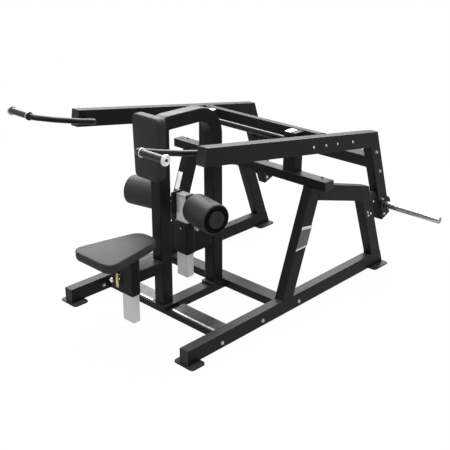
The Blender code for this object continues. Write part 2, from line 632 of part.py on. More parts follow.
def build_horns(lever):
    """Weight horns: chromed bars with a stop flange at the arm's leg and a rounded end."""
    for word, side in SIDES:
        start = ARM_X + TUBE_WIDTH / 2 + GAP
        name = f"{word}_horn_flange"
        spot = (side * start, HORN_Y, HORN_Z)
        profile = [(0, HORN_FLANGE_R - 0.002), (0.002, HORN_FLANGE_R), (0.010, HORN_FLANGE_R),
                   (0.012, HORN_FLANGE_R - 0.002)]
        mesh = turned(name, profile, spot, (side, 0, 0), 32)
        finish(name, mesh, spot, lever, "black_paint")
        name = f"{word}_weight_horn"
        spot = (side * (start + 0.012 + GAP), HORN_Y, HORN_Z)
        length = HORN_END_X - start - 0.012
        profile = [(0, HORN_R), (length - 0.010, HORN_R), (length - 0.0095, HORN_R + 0.002),
                   (length - 0.002, HORN_R + 0.002), (length, HORN_R)]
        finish(name, turned(name, profile, spot, (side, 0, 0), 32), spot, lever, "chrome")


def build_column(root):
    """The centre column: a lower post and a bent arch over the leg rollers."""
    y = sum(LOWER_POST_Y) / 2
    name = "lower_front_post"
    top, side = LOWER_POST_TOP - GAP, LOWER_POST_Y[1] - LOWER_POST_Y[0]
    mesh = tube(name, (0, y, FLANGE_TOP - 0.010), (0, y, top), (side, side), wall=WALL,
                shut=(True, False), radius=ARCH_CORNER)
    post = finish(name, mesh, (0, y, FRONT_BEAM_Z[1]), root, "black_paint")
    outline = ((-0.070, 0.300), (0.070, 0.300), (0.070, 0.441), (-0.070, 0.441))
    flange = plate("front_post_flange", outline, 0.012, FRONT_BEAM_Z[1] + GAP, FLANGE_TOP)
    boolean(post, finish("front_post_flange", flange, (0, y, FLANGE_TOP), root, "black_paint"), "UNION")

    name = "arch_tube"
    corners = [(0, ARCH_LEG_Y, LOWER_POST_TOP), (0, ARCH_LEG_Y, ARCH_TOP_Z),
               (0, ARCH_POST_Y[1], ARCH_TOP_Z), (0, ARCH_POST_Y[0], FLANGE_TOP - 0.008)]
    path = round_bends(corners, ARCH_BENDS, 9)
    section = rounded_section(ARCH_SECTION, ARCH_SECTION, ARCH_CORNER)
    bore = ARCH_SECTION - 2 * WALL
    inner = rounded_section(bore, bore, ARCH_CORNER - WALL)
    arch = finish(name, sweep(name, path, section, (1, 0, 0), wall_section=inner),
                  corners[0], root, "black_paint")
    rear, half = ARCH_POST_Y[0], CENTRE_BEAM_WIDTH / 2
    outline = ((-half, rear - 0.078), (half, rear - 0.078), (half, rear + 0.065), (-half, rear + 0.065))
    flange = plate("rear_post_flange", outline, 0.010, CENTRE_BEAM_Z[1] + GAP, FLANGE_TOP)
    boolean(arch, finish("rear_post_flange", flange, (0, rear, FLANGE_TOP), root, "black_paint"), "UNION")


def sleeve(name, y_span, z_span, inner_y, inner_half, root):
    """An open sleeve for a sliding tube, with room of half a millimetre all round."""
    y = sum(y_span) / 2
    outer = rounded_section(2 * SLEEVE_HALF, y_span[1] - y_span[0], 0.010)
    middle = sum(inner_y) / 2 - y
    inner = [(u, v + middle) for u, v in
             rounded_section(2 * inner_half + 2 * SLIDE_GAP,
                             inner_y[1] - inner_y[0] + 2 * SLIDE_GAP, 0.0065)]
    rings = [[(u, y + v, z) for u, v in outer] for z in z_span]
    rings += [[(u, y + v, z) for u, v in inner] for z in reversed(z_span)]
    return finish(name, loft(name, rings, closed=True), (0, y, z_span[0]), root, "black_paint")


def build_sleeves(root):
    """Guides for the seat post and the roller post, with the beams that carry them."""
    seat = sleeve("seat_sleeve", SEAT_SLEEVE_Y, SEAT_SLEEVE_Z, SEAT_TUBE_Y, SEAT_TUBE_HALF, root)
    build_pin_bracket(seat, root)
    z = sum(SEAT_ARM_Z) / 2
    beam = tube("seat_arm_beam", (0, SEAT_SLEEVE_Y[1] + GAP, z), (0, LOWER_POST_Y[0] - GAP, z),
                (0.100, SEAT_ARM_Z[1] - SEAT_ARM_Z[0]), wall=WALL)
    finish("seat_arm_beam", beam, (0, LOWER_POST_Y[0], z), root, "black_paint")
    roller = sleeve("roller_sleeve", ROLLER_SLEEVE_Y, ROLLER_SLEEVE_Z, ROLLER_TUBE_Y,
                    ROLLER_TUBE_HALF, root)
    spot = (SLEEVE_HALF, ROLLER_PIN_Y, ROLLER_PIN_Z)
    hole = turned("roller_pin_bore", [(-0.012, PIN_R + GAP), (0.01, PIN_R + GAP)], spot, (1, 0, 0), 16)
    boolean(roller, finish("roller_pin_bore", hole, spot, root, "black_paint"))
    low, high = ROLLER_SLEEVE_Z[0], 0.592
    z = (low + high) / 2
    face = ARCH_POST_Y[0] - ARCH_POST_LEAN * (z - FLANGE_TOP) - ARCH_SECTION / 2 - 0.0028
    beam = tube("roller_sleeve_beam", (0, ROLLER_SLEEVE_Y[1] + GAP, z), (0, face, z),
                (0.084, high - low), wall=WALL)
    finish("roller_sleeve_beam", beam, (0, ROLLER_SLEEVE_Y[1], z), root, "black_paint")


def build_pin_bracket(sleeve_body, root):
    """A folded bracket on the sleeve's left guides the seat pin; the pin's arm slides in its slot."""
    (y0, y1), (z0, z1), thick = PIN_BRACKET_Y, PIN_BRACKET_Z, PIN_BRACKET_PLATE
    x0, x1 = PIN_BRACKET_X, -SLEEVE_HALF + 0.004
    outline = ((x1, y0 + 0.0015), (x1, y0 + 0.0065), (x0 + thick, y0 + 0.0065), (x0 + thick, y1),
               (x0, y1), (x0, y0 + 0.0045), (x0 + 0.003, y0 + 0.0015))
    mesh = loft("pin_bracket", [[(x, y, z) for x, y in outline] for z in (z0 + 0.0005, z1)])
    spot = (x1, y0, z0)
    boolean(sleeve_body, finish("pin_bracket", mesh, spot, root, "black_paint"), "UNION")
    spot = (0, SEAT_PIN_Y, SEAT_PIN_Z)
    hole = turned("seat_pin_bore", [(SEAT_TUBE_HALF - 0.004, PIN_R + GAP), (0.17, PIN_R + GAP)], spot,
                  (-1, 0, 0), 16)
    boolean(sleeve_body, finish("seat_pin_bore", hole, spot, root, "black_paint"))
    low, high = SEAT_PIN_Z - 0.009, SEAT_PIN_Z + 0.009
    outline = ((-0.090, low), (-0.0612, low), (-0.0612, high), (-0.090, high))
    slot = plate("handle_slot", outline, 0.006, y0 - 0.004, y0 + 0.012, "y")
    boolean(sleeve_body, finish("handle_slot", slot, spot, root, "black_paint"))


def build_seat(seat):
    """The seat: a cushion on a plate welded to a square post with a row of locking holes."""
    y = sum(SEAT_TUBE_Y) / 2
    origin = ORIGINS[seat.name]
    mesh = tube("seat_post", (0, y, SEAT_TUBE_Z[0]), (0, y, SEAT_TUBE_Z[1]),
                (2 * SEAT_TUBE_HALF, SEAT_TUBE_Y[1] - SEAT_TUBE_Y[0]), wall=WALL, shut=(False, True))
    post = finish("seat_post", mesh, origin, seat, "silver_paint")
    low = SEAT_TOP - SEAT_THICK - 0.0065
    outline = ((-0.120, -0.130), (0.120, -0.130), (0.080, 0.200), (-0.080, 0.200))
    top = plate("seat_plate", outline, 0.030, low - 0.006, low)
    boolean(post, finish("seat_plate", top, origin, seat, "black_paint"), "UNION")
    for i in range(SEAT_HOLES):
        spot = (-SEAT_TUBE_HALF, SEAT_PIN_Y, SEAT_PIN_Z - i * SEAT_PITCH)
        hole = turned(f"seat_hole_{i}", [(-0.002, PIN_HOLE_R), (0.008, PIN_HOLE_R)], spot, (1, 0, 0), 16)
        boolean(post, finish(f"seat_hole_{i}", hole, spot, seat, "silver_paint"))
    base = low + GAP
    mesh = cushion("seat_cushion", SEAT_CORNERS, (0.062, 0.062, 0.055, 0.055), SEAT_THICK,
                   lambda u, v, w: (u, v, base + w))
    finish("seat_cushion", mesh, origin, seat, "leather")


def build_pad(root):
    """The chest pad on the front of the arch."""
    back = ARCH_LEG_Y - ARCH_SECTION / 2 - GAP
    mesh = cushion("chest_pad", PAD_CORNERS, (PAD_RADIUS,) * 4, PAD_THICK,
                   lambda u, v, w: (u, back - w, v))
    finish("chest_pad", mesh, (0, back, 1.18), root, "leather")


def build_pins(seat_pin, roller_pin):
    """Spring plungers: the seat's with an arm to a bar handle, the rollers' with a round knob."""
    origin = ORIGINS[seat_pin.name]
    start = (-SEAT_TUBE_HALF - PIN_CLEARANCE, SEAT_PIN_Y, SEAT_PIN_Z)
    nut = start[0] - PIN_BRACKET_X + GAP
    profile = [(0, PIN_R - 0.001), (0.001, PIN_R), (nut, PIN_R), (nut + 0.0005, 0.010),
               (nut + 0.007, 0.010), (nut + 0.008, 0.009)]
    pin = finish("seat_pin", turned("seat_pin", profile, start, (-1, 0, 0), 16), origin, seat_pin,
                 "chrome")
    bar_x, bar_y = SEAT_HANDLE_XY
    arm_end = bar_y + SEAT_HANDLE_R * 0.5
    outline = ((bar_x - 0.010, arm_end), (bar_x - 0.002, arm_end), (bar_x - 0.002, SEAT_PIN_Y),
               (bar_x - 0.010, SEAT_PIN_Y))
    arm = [[(x, y, z) for x, y in outline] for z in (SEAT_PIN_Z - 0.0055, SEAT_PIN_Z + 0.0055)]
    boolean(pin, finish("pin_arm", loft("pin_arm", arm), origin, seat_pin, "chrome"), "UNION")
    low, high = SEAT_HANDLE_Z
    rings = []
    for share, swell in ((0.0, 0.60), (0.02, 0.85), (0.06, 1.0), (0.20, 1.0), (0.35, 1.0), (0.5, 1.0),
                         (0.65, 1.0), (0.80, 1.0), (0.94, 1.0), (0.98, 0.85), (1.0, 0.60)):
        bow = SEAT_HANDLE_BOW * (math.sin(math.pi * share) - 0.5)
        rings.append([(bar_x + u * swell, bar_y - bow + v * swell, low + (high - low) * share)
                      for u, v in circle(SEAT_HANDLE_R, 14)])
    handle = finish("seat_pin_handle", loft("seat_pin_handle", rings), origin, seat_pin, "yellow")
    outline = ((bar_x - 0.010 - GAP, arm_end - GAP), (bar_x - 0.002 + GAP, arm_end - GAP),
               (bar_x - 0.002 + GAP, SEAT_PIN_Y), (bar_x - 0.010 - GAP, SEAT_PIN_Y))
    pocket = loft("handle_pocket", [[(x, y, z) for x, y in outline] for z in
                                    (SEAT_PIN_Z - 0.0055 - GAP, SEAT_PIN_Z + 0.0055 + GAP)])
    boolean(handle, finish("handle_pocket", pocket, origin, seat_pin, "yellow"))
    start = (ROLLER_TUBE_HALF + PIN_CLEARANCE, ROLLER_PIN_Y, ROLLER_PIN_Z)
    profile = [(0, PIN_R - 0.001), (0.001, PIN_R), (0.046, PIN_R), (0.0465, 0.011), (0.052, 0.0145),
               (0.072, 0.0145), (0.077, 0.010)]
    finish("roller_pin", turned("roller_pin", profile, start, (1, 0, 0), 20),
           ORIGINS[roller_pin.name], roller_pin, "chrome")


def build_rollers(carriage, left_axis, right_axis):
    """A square post and two arms with leaning stub axles carry two foam rollers that turn freely."""
    origin = ORIGINS[carriage.name]
    y = sum(ROLLER_TUBE_Y) / 2
    mesh = tube("roller_post", (0, y, ROLLER_TUBE_Z[0]), (0, y, ROLLER_TUBE_Z[1]),
                (2 * ROLLER_TUBE_HALF, ROLLER_TUBE_Y[1] - ROLLER_TUBE_Y[0]), wall=WALL,
                shut=(False, True))
    post = finish("roller_post", mesh, origin, carriage, "silver_paint")
    for i in range(ROLLER_HOLES):
        spot = (ROLLER_TUBE_HALF, ROLLER_PIN_Y, ROLLER_PIN_Z - i * ROLLER_PITCH)
        hole = turned(f"roller_hole_{i}", [(-0.008, PIN_HOLE_R), (0.002, PIN_HOLE_R)], spot, (1, 0, 0), 16)
        boolean(post, finish(f"roller_hole_{i}", hole, spot, carriage, "silver_paint"))
    for (word, side), axis in zip(SIDES, (left_axis, right_axis)):
        name = f"{word}_roller_arm"
        low, high = sorted((side * ROLLER_ARM_X[0], side * ROLLER_ARM_X[1]))
        y0, y1, (z0, z1) = ROLLER_ARM_FRONT_Y[word], ROLLER_ARM_REAR_Y, ROLLER_ARM_Z
        mesh = plate(name, ((y0, z0), (y1, z0), (y1, z1), (y0, z1)), 0.012, low, high, "x")
        arm = finish(name, mesh, origin, carriage, "black_paint")
        start, out = roller_line(side, 0.0), roller_line(side, 1.0) - roller_line(side, 0.0)
        root_end, tip = ROLLER_ARM_X[0] / math.cos(ROLLER_LEAN) + 0.006, ROLLER_REACH[1] - 0.006
        shoulder = ROLLER_REACH[0] - 0.002
        profile = [(root_end, STUB_COLLAR_R), (shoulder, STUB_COLLAR_R), (shoulder + 0.0001, STUB_R),
                   (tip - 0.001, STUB_R), (tip, STUB_R - 0.001)]
        stub = turned(f"{name}_stub", profile, start, out, 24)
        boolean(arm, finish(f"{name}_stub", stub, start, carriage, "brushed_steel"), "UNION")
        name = f"{word}_roller"
        length = ROLLER_REACH[1] - ROLLER_REACH[0]
        profile = [(0, ROLLER_BORE_R), (0, ROLLER_R - 0.010), (0.003, ROLLER_R - 0.003),
                   (0.010, ROLLER_R), (length - 0.010, ROLLER_R), (length - 0.003, ROLLER_R - 0.003),
                   (length, ROLLER_R - 0.010), (length, 0.056), (length + 0.007, 0.055),
                   (length + 0.010, 0.051), (length + 0.010, 0.020), (length - 0.004, 0.019),
                   (length - 0.004, ROLLER_BORE_R)]
        mesh = turned(name, profile, roller_line(side, ROLLER_REACH[0]), out, 36, closed=True)
        finish(name, mesh, ORIGINS[axis.name], axis, "leather")


def roller_line(side, reach):
    """The point at a distance along a roller's leaning axis from the post's middle plane."""
    return Vector((side * reach * math.cos(ROLLER_LEAN),
                   ROLLER_MEET_Y - reach * math.sin(ROLLER_LEAN), ROLLER_Z))


def main():
    for obj in list(bpy.data.objects):
        bpy.data.objects.remove(obj, do_unlink=True)
    root = empty("machine", (0, 0, 0))
    lever = empty("lever_pivot", (0, PIVOT_Y, PIVOT_Z), root)
    seat = empty("seat_slide", (0, sum(SEAT_TUBE_Y) / 2, SEAT_TUBE_Z[0]), root)
    carriage = empty("roller_slide", (0, sum(ROLLER_TUBE_Y) / 2, ROLLER_TUBE_Z[0]), root)
    middle = sum(ROLLER_REACH) / 2
    left_axis = empty("left_roller_axis", roller_line(-1, middle), carriage)
    right_axis = empty("right_roller_axis", roller_line(1, middle), carriage)
    seat_pin = empty("seat_pin_slide", (-SLEEVE_HALF, SEAT_PIN_Y, SEAT_PIN_Z), root)
    roller_pin = empty("roller_pin_slide", (SLEEVE_HALF, ROLLER_PIN_Y, ROLLER_PIN_Z), root)
    build_base(root)
    build_side_frames(root)
    build_bumpers(root)
    build_pivot(root)
    build_lever(lever)
    build_column(root)
    build_sleeves(root)
    build_pad(root)
    build_seat(seat)
    build_pins(seat_pin, roller_pin)
    build_rollers(carriage, left_axis, right_axis)


main()
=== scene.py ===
"""Seated triceps machine: finishes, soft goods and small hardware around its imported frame.

Lengths are metres. Sizes are given in the machine's own frame, whose Y starts at the seat's front,
and spot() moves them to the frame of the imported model, whose Y starts at the machine's middle.
"""
import logging
import math
from dataclasses import dataclass
from enum import Enum
from typing import ClassVar, Optional, Sequence, Union

import bpy
import numpy as np
from mathutils import Matrix, Vector


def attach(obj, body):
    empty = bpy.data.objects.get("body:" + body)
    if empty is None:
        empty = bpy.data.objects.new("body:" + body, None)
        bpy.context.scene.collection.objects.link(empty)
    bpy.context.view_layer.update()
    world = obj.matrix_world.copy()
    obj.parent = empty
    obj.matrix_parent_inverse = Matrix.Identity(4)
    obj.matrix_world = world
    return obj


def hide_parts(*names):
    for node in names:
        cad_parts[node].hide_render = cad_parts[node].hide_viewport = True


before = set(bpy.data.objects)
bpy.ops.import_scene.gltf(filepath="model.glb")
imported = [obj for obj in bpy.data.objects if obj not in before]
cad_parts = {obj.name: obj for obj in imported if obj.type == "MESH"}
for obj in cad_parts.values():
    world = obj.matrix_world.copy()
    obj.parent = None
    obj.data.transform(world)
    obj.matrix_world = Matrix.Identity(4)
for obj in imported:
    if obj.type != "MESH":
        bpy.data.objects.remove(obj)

LOG = logging.getLogger("triceps_machine")
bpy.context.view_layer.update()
CENTRE_Y = 0.9114
SIDES = (("left", -1.0), ("right", 1.0))
ACROSS, UP = (1, 0, 0), (0, 0, 1)

Triple = tuple[float, float, float]
Pair = tuple[float, float]
Number = Union["Value", float]
Socket = bpy.types.NodeSocket
Feed = Union["Value", Socket, float, Sequence[float]]


class Body(str, Enum):
    """The CAD bodies that pieces ride on."""

    FRAME = "frame"
    LEVER = "lever"
    SEAT = "seat"
    SEAT_PIN = "seat_pin"
    CARRIAGE = "roller_carriage"
    LEFT_ROLLER = "left_roller"
    RIGHT_ROLLER = "right_roller"


class Slot(str, Enum):
    """The record's material slots."""

    PAINT = "frame_paint"
    SILVER = "silver_paint"
    CHROME = "chrome"
    STEEL = "steel"
    RUBBER = "rubber"
    UPHOLSTERY = "upholstery"
    YELLOW = "yellow_plastic"


def spot(x: float, y: float, z: float) -> np.ndarray:
    """Moves a point from the machine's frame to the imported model's frame."""
    return np.array([x, y - CENTRE_Y, z], float)


def unit(vectors: np.ndarray) -> np.ndarray:
    """Scales vectors along the last axis to length one."""
    vectors = np.asarray(vectors, float)
    return vectors / np.maximum(np.linalg.norm(vectors, axis=-1, keepdims=True), 1e-12)


# Shader maths


@dataclass(frozen=True)
class Value:
    """A number socket that Python expressions work on; each expression adds its Math node."""

    graph: "Graph"
    socket: Socket

    def _math(self, operation: str, *terms: Number) -> "Value":
        """A new Math node's result for the terms in order."""
        return self.graph.number("ShaderNodeMath", {"operation": operation}, dict(enumerate(terms)))

    def __add__(self, other: Number) -> "Value":
        """self + other."""
        return self._math("ADD", self, other)

    def __sub__(self, other: Number) -> "Value":
        """self - other."""
        return self._math("SUBTRACT", self, other)

    def __rsub__(self, other: float) -> "Value":
        """other - self."""
        return self._math("SUBTRACT", other, self)

    def __mul__(self, other: Number) -> "Value":
        """self * other."""
        return self._math("MULTIPLY", self, other)

    def __pow__(self, other: float) -> "Value":
        """self to the power other."""
        return self._math("POWER", self, other)

    __radd__, __rmul__ = __add__, __mul__

    def sine(self) -> "Value":
        """The sine of the value in radians."""
        return self._math("SINE", self)

    def at_least(self, floor: float) -> "Value":
        """The larger of the value and the floor."""
        return self._math("MAXIMUM", self, floor)

    def at_most(self, ceiling: float) -> "Value":
        """The smaller of the value and the ceiling."""
        return self._math("MINIMUM", self, ceiling)

    def step(self, start: float, end: float) -> "Value":
        """A smooth change from 0 where the value is start to 1 where it is end."""
        return self.graph.number("ShaderNodeMapRange", {"interpolation_type": "SMOOTHSTEP"},
                                 {"Value": self, "From Min": start, "From Max": end})


class Graph:
    """The node graph of a material, a world or a geometry group."""

    def __init__(self, tree: bpy.types.NodeTree) -> None:
        """Empties the tree and keeps it."""
        self.tree = tree
        tree.nodes.clear()

    def node(self, kind: str, settings: Optional[dict] = None,
             sockets: Optional[dict] = None) -> bpy.types.Node:
        """Adds a node, sets it up, then feeds its sockets.

        Args:
            kind: The node's type.
            settings: Its attributes.
            sockets: Values or links by socket name or number.

        Returns:
            The new node.
        """
        made = self.tree.nodes.new(kind)
        for key, value in (settings or {}).items():
            setattr(made, key, value)
        for key, value in (sockets or {}).items():
            fed = getattr(value, "socket", value)
            if isinstance(fed, Socket):
                self.tree.links.new(fed, made.inputs[key])
            else:
                made.inputs[key].default_value = fed
        return made

    def number(self, kind: str, settings: dict, sockets: dict, output: Union[int, str] = 0) -> Value:
        """A new node's output as a value."""
        return Value(self, self.node(kind, settings, sockets).outputs[output])

    def coords(self, kind: str = "Object") -> Socket:
        """Texture coordinates of the given kind."""
        return self.node("ShaderNodeTexCoord").outputs[kind]

    def axes(self, kind: str = "Object") -> tuple[Value, ...]:
        """Texture coordinates of the given kind as three numbers."""
        made = self.node("ShaderNodeSeparateXYZ", None, {0: self.coords(kind)})
        return tuple(Value(self, socket) for socket in made.outputs)

    def place(self, stretch: Triple = (1, 1, 1)) -> Socket:
        """Object coordinates, each axis times its share of the stretch."""
        made = self.node("ShaderNodeMapping", None, {"Vector": self.coords(), "Scale": stretch})
        return made.outputs[0]

    def noise(self, scale: float, detail: float = 2.0, roughness: float = 0.5,
              stretch: Triple = (1, 1, 1)) -> Value:
        """Smooth noise in space.

        Args:
            scale: Grains per metre.
            detail: Octaves.
            roughness: Weight of the finer octaves.
            stretch: Factor of the coordinates along each axis.

        Returns:
            The noise, 0 to 1.
        """
        return self.number("ShaderNodeTexNoise", {"noise_dimensions": "3D"},
                           {"Vector": self.place(stretch), "Scale": scale, "Detail": detail,
                            "Roughness": roughness})

    def cells(self, scale: float, smooth: float) -> Value:
        """Distance to scattered points, by cells per metre and roundness of borders, 0 to 1."""
        return self.number("ShaderNodeTexVoronoi", {"feature": "SMOOTH_F1"},
                           {"Vector": self.place(), "Scale": scale, "Smoothness": smooth}, "Distance")

    def tint(self, factor: Feed, first: Feed, second: Feed) -> Socket:
        """Mixes two colours: the first where the factor is 0, the second where it is 1."""
        return self.node("ShaderNodeMix", {"data_type": "RGBA"}, {0: factor, 6: first, 7: second}).outputs[2]

    def shades(self, mask: Value, colour: Triple, low: float, high: float,
               span: Pair = (0.3, 0.7)) -> Socket:
        """A colour that goes from low to high times itself while the mask crosses the span."""
        return self.tint(mask.step(*span), toned(colour, low), toned(colour, high))

    def bump(self, height: Value, distance: float, strength: float,
             under: Optional[Socket] = None) -> Socket:
        """Turns a height from 0 to 1, which stands for a distance, into a normal over another."""
        sockets = {"Height": height, "Distance": distance, "Strength": strength}
        return self.node("ShaderNodeBump", None, sockets | ({"Normal": under} if under else {})).outputs[0]

    def shine(self, colour: Feed, gloss: Feed, normal: Socket, **others: Feed) -> None:
        """Ends a material in a Principled shader, whose other sockets are given by name."""
        sockets = {"Base Color": colour, "Roughness": gloss, "Normal": normal} | others
        self.end("Material", self.node("ShaderNodeBsdfPrincipled", None, sockets))

    def end(self, kind: str, shader: bpy.types.Node) -> None:
        """Links a shader to a new output of the given kind."""
        self.node(f"ShaderNodeOutput{kind}", None, {"Surface": shader.outputs[0]})


def grey(level: float, warmth: float = 0.0) -> Triple:
    """A near-neutral colour, its red raised and its blue lowered by a share."""
    return level * (1 + warmth), level, level * (1 - warmth)


def toned(colour: Triple, share: float = 1.0) -> tuple[float, ...]:
    """A colour times a share, with alpha."""
    return (*(c * share for c in colour), 1.0)


# Finishes


@dataclass(frozen=True)
class Finish:
    """A surface finish: its name, the record's slot, and the values that its shader starts from."""

    name: str
    slot: Slot
    colour: Triple = grey(0.72)
    gloss: float = 0.45
    ior: float = 1.38

    def material(self) -> bpy.types.Material:
        """The finish's material, made the first time it is asked for.

        Returns:
            The material.
        """
        made = bpy.data.materials.get(self.name)
        if made is None:
            made = bpy.data.materials.new(self.name)
            made.use_nodes = True
            self.dress(Graph(made.node_tree))
        return made

    def dress(self, graph: Graph) -> None:
        """Fills the material's graph; each finish has its own.

        Args:
            graph: The material's graph.
        """
        raise NotImplementedError


@dataclass(frozen=True)
class PowderCoat(Finish):
    """Satin powder coat: fine orange peel, faint clouding, and up-facing faces painted paler, as dust and as
    painted light on the tops.
    """

    colour: Triple = grey(0.0105, -0.01)
    gloss: float = 0.36
    ior: float = 1.22
    peel: float = 0.00012
    # Colour of up-facing faces: dust, and painted light on the tops.
    dust: Triple = grey(0.028, -0.01)

    def dress(self, graph: Graph) -> None:
        """Peel is two noises, 2.5 mm and 0.8 mm; clouds of 12 cm vary colour and gloss.

        Args:
            graph: The material's graph.
        """
        clouds, specks = graph.noise(8.0, 3.0), graph.noise(1400.0, 1.0)
        peel = graph.noise(420.0, 2.0, 0.6) * 0.7 + specks * 0.3
        mask = clouds * 0.6 + specks * 0.4
        # Painted light: up-facing faces are mixed towards the paler top colour, which stands for dust and
        # for the light falling on the tops.
        dust_and_top_light_mask = graph.axes("Normal")[2].step(0.8, 0.97) * (mask * 0.4 + 0.8)
        colour = graph.tint(dust_and_top_light_mask, graph.shades(mask, self.colour, 0.86, 1.2, (0.3, 0.75)), toned(self.dust))
        gloss = (clouds - 0.5) * 0.1 + (specks - 0.5) * 0.05 + self.gloss
        graph.shine(colour, gloss, graph.bump(peel, self.peel, 0.6), IOR=self.ior)


@dataclass(frozen=True)
class SilverCoat(Finish):
    """Satin silver lacquer over steel, with fine flakes; black above a height, if one is given."""

    gloss: float = 0.36
    ior: float = 1.4
    black_above: float = 9.0

    def dress(self, graph: Graph) -> None:
        """Flakes of half a millimetre vary colour; clouds vary gloss; faint rub marks run upwards.

        Args:
            graph: The material's graph.
        """
        flakes, clouds = graph.cells(1800.0, 0.2), graph.noise(9.0, 3.0)
        rubs = graph.noise(260.0, 2.0, 0.6, (1, 1, 0.02))
        mask = flakes * 0.5 + clouds * 0.3 + rubs * 0.2
        top = graph.axes()[2].step(self.black_above - 0.0002, self.black_above)
        colour = graph.tint(top, graph.shades(mask, self.colour, 0.9, 1.1, (0.25, 0.75)), toned(grey(0.01)))
        gloss = (clouds - 0.5) * 0.12 + (rubs - 0.5) * 0.1 + self.gloss
        graph.shine(colour, gloss, graph.bump(flakes, 0.00006, 0.35), Metallic=(1 - top) * 0.3, IOR=self.ior)


@dataclass(frozen=True)
class BrightMetal(Finish):
    """Plated or polished metal with fine turning or drawing marks along one axis."""

    gloss: float = 0.16
    marks: float = 0.00004

    def dress(self, graph: Graph) -> None:
        """Stretched noise gives the marks; clouds and small smears vary the gloss.

        Args:
            graph: The material's graph.
        """
        marks, clouds = graph.noise(900.0, 3.0, 0.6, (0.03, 1, 1)), graph.noise(14.0, 3.0)
        smears = graph.noise(60.0, 2.0).step(0.45, 0.8)
        colour = graph.shades(marks * 0.6 + clouds * 0.4, self.colour, 0.9, 1.08)
        gloss = (marks - 0.5) * 0.08 + smears * 0.07 + (clouds - 0.5) * 0.06 + self.gloss
        graph.shine(colour, gloss.at_least(0.04), graph.bump(marks, self.marks, 0.4), Metallic=1.0)


@dataclass(frozen=True)
class BrushedPlate(Finish):
    """Brushed steel of the tread plates, with lengthwise grain and rubbed patches."""

    colour: Triple = grey(0.065)
    gloss: float = 0.34

    def dress(self, graph: Graph) -> None:
        """Grain is noise stretched along X at two scales; rubbed patches are duller.

        Args:
            graph: The material's graph.
        """
        fine, broad = graph.noise(1200.0, 2.0, 0.6, (0.01, 1, 1)), graph.noise(160.0, 2.0, 0.6, (0.02, 1, 1))
        patches = graph.noise(11.0, 3.0).step(0.35, 0.7)
        grain = fine * 0.6 + broad * 0.4
        colour = graph.shades(grain, self.colour, 0.82, 1.15)
        gloss = (grain - 0.5) * 0.16 + patches * 0.08 + self.gloss
        graph.shine(colour, gloss, graph.bump(grain, 0.00006, 0.5), Metallic=1.0)


@dataclass(frozen=True)
class Leather(Finish):
    """Imitation leather: rounded pebbles, finer pores, soft large creases."""

    colour: Triple = grey(0.026, -0.02)
    gloss: float = 0.47
    ior: float = 1.36

    def dress(self, graph: Graph) -> None:
        """Pebbles are smooth cells 1.6 mm wide whose valleys get painted shade; creases are 4 cm noise.

        Args:
            graph: The material's graph.
        """
        pebbles, pores = graph.cells(620.0, 0.5), graph.noise(1922.0, 2.0, 0.6)
        creases = graph.noise(26.0, 3.0, 0.55)
        valley = pebbles.step(0.28, 0.62)
        # Painted shade and highlight: darker in the valleys between pebbles, lighter on the pebbles.
        colour = graph.tint(valley, toned(self.colour, 1.1), toned(self.colour, 0.72))
        colour = graph.tint(creases.step(0.35, 0.7), colour, toned(self.colour, 0.9))
        gloss = valley * 0.1 + (pores - 0.5) * 0.08 + (creases - 0.5) * 0.06 + self.gloss
        soft = graph.bump(creases, 0.0006, 0.35)
        normal = graph.bump((1 - valley) * 0.75 + pores * 0.25, 0.00016, 0.55, soft)
        graph.shine(colour, gloss, normal, IOR=self.ior)


@dataclass(frozen=True)
class Moulded(Finish):
    """Moulded plastic or rubber: spark-eroded texture and faint flow clouds."""

    texture: float = 0.00008

    def dress(self, graph: Graph) -> None:
        """Texture is 0.7 mm noise; clouds of 5 cm shift colour and gloss.

        Args:
            graph: The material's graph.
        """
        texture, clouds = graph.noise(1300.0, 2.0, 0.55), graph.noise(20.0, 2.0)
        colour = graph.shades(clouds * 0.7 + texture * 0.3, self.colour, 0.82, 1.15)
        gloss = (texture - 0.5) * 0.1 + (clouds - 0.5) * 0.08 + self.gloss
        graph.shine(colour, gloss, graph.bump(texture, self.texture, 0.5), IOR=self.ior)


@dataclass(frozen=True)
class Thread(Finish):
    """Twisted upholstery thread."""

    gloss: float = 0.6
    ior: float = 1.4

    def dress(self, graph: Graph) -> None:
        """Twist is a fine wave across the thread; fluff is noise.

        Args:
            graph: The material's graph.
        """
        x, y, z = graph.axes()
        twist = ((x + y + z) * 5200.0).sine() * 0.5 + 0.5
        fluff = graph.noise(2400.0, 1.0)
        colour = graph.tint(twist * 0.6 + fluff * 0.4, toned(self.colour, 0.6), toned(self.colour, 1.3))
        graph.shine(colour, fluff * 0.2 + self.gloss, graph.bump(twist, 0.00008, 0.6), IOR=self.ior)


# Each coat's paler top colour paints its up-facing faces: dust, and painted light on the tops.
COAT = PowderCoat("black_powder_coat", Slot.PAINT)
BEAD = PowderCoat("coated_weld", Slot.PAINT, grey(0.011, -0.01), 0.32, peel=0.0002)
HANDLE_COAT = PowderCoat("handle_coat", Slot.PAINT, grey(0.009, 0.06), 0.26, 1.3, dust=grey(0.012, 0.06))
SHAFT_COAT = PowderCoat("shaft_coat", Slot.STEEL, grey(0.006, -0.01), 0.14, 1.32, 0.00002)
SILVER = SilverCoat("silver_lacquer", Slot.SILVER)
SEAT_SILVER = SilverCoat("seat_post_lacquer", Slot.SILVER, black_above=0.5312)
PLATING = BrightMetal("bright_plating", Slot.CHROME)
BAR_CHROME = BrightMetal("horn_chrome", Slot.CHROME, grey(0.64), 0.24, marks=0.000004)
CAP_ALLOY = BrightMetal("cap_alloy", Slot.CHROME, grey(0.92, 0.02), 0.34, marks=0.00002)
ZINC = BrightMetal("yellow_zinc", Slot.CHROME, grey(0.85, 0.1), 0.3)
LIP_STEEL = BrightMetal("tread_lip", Slot.STEEL, grey(0.9), 0.3)
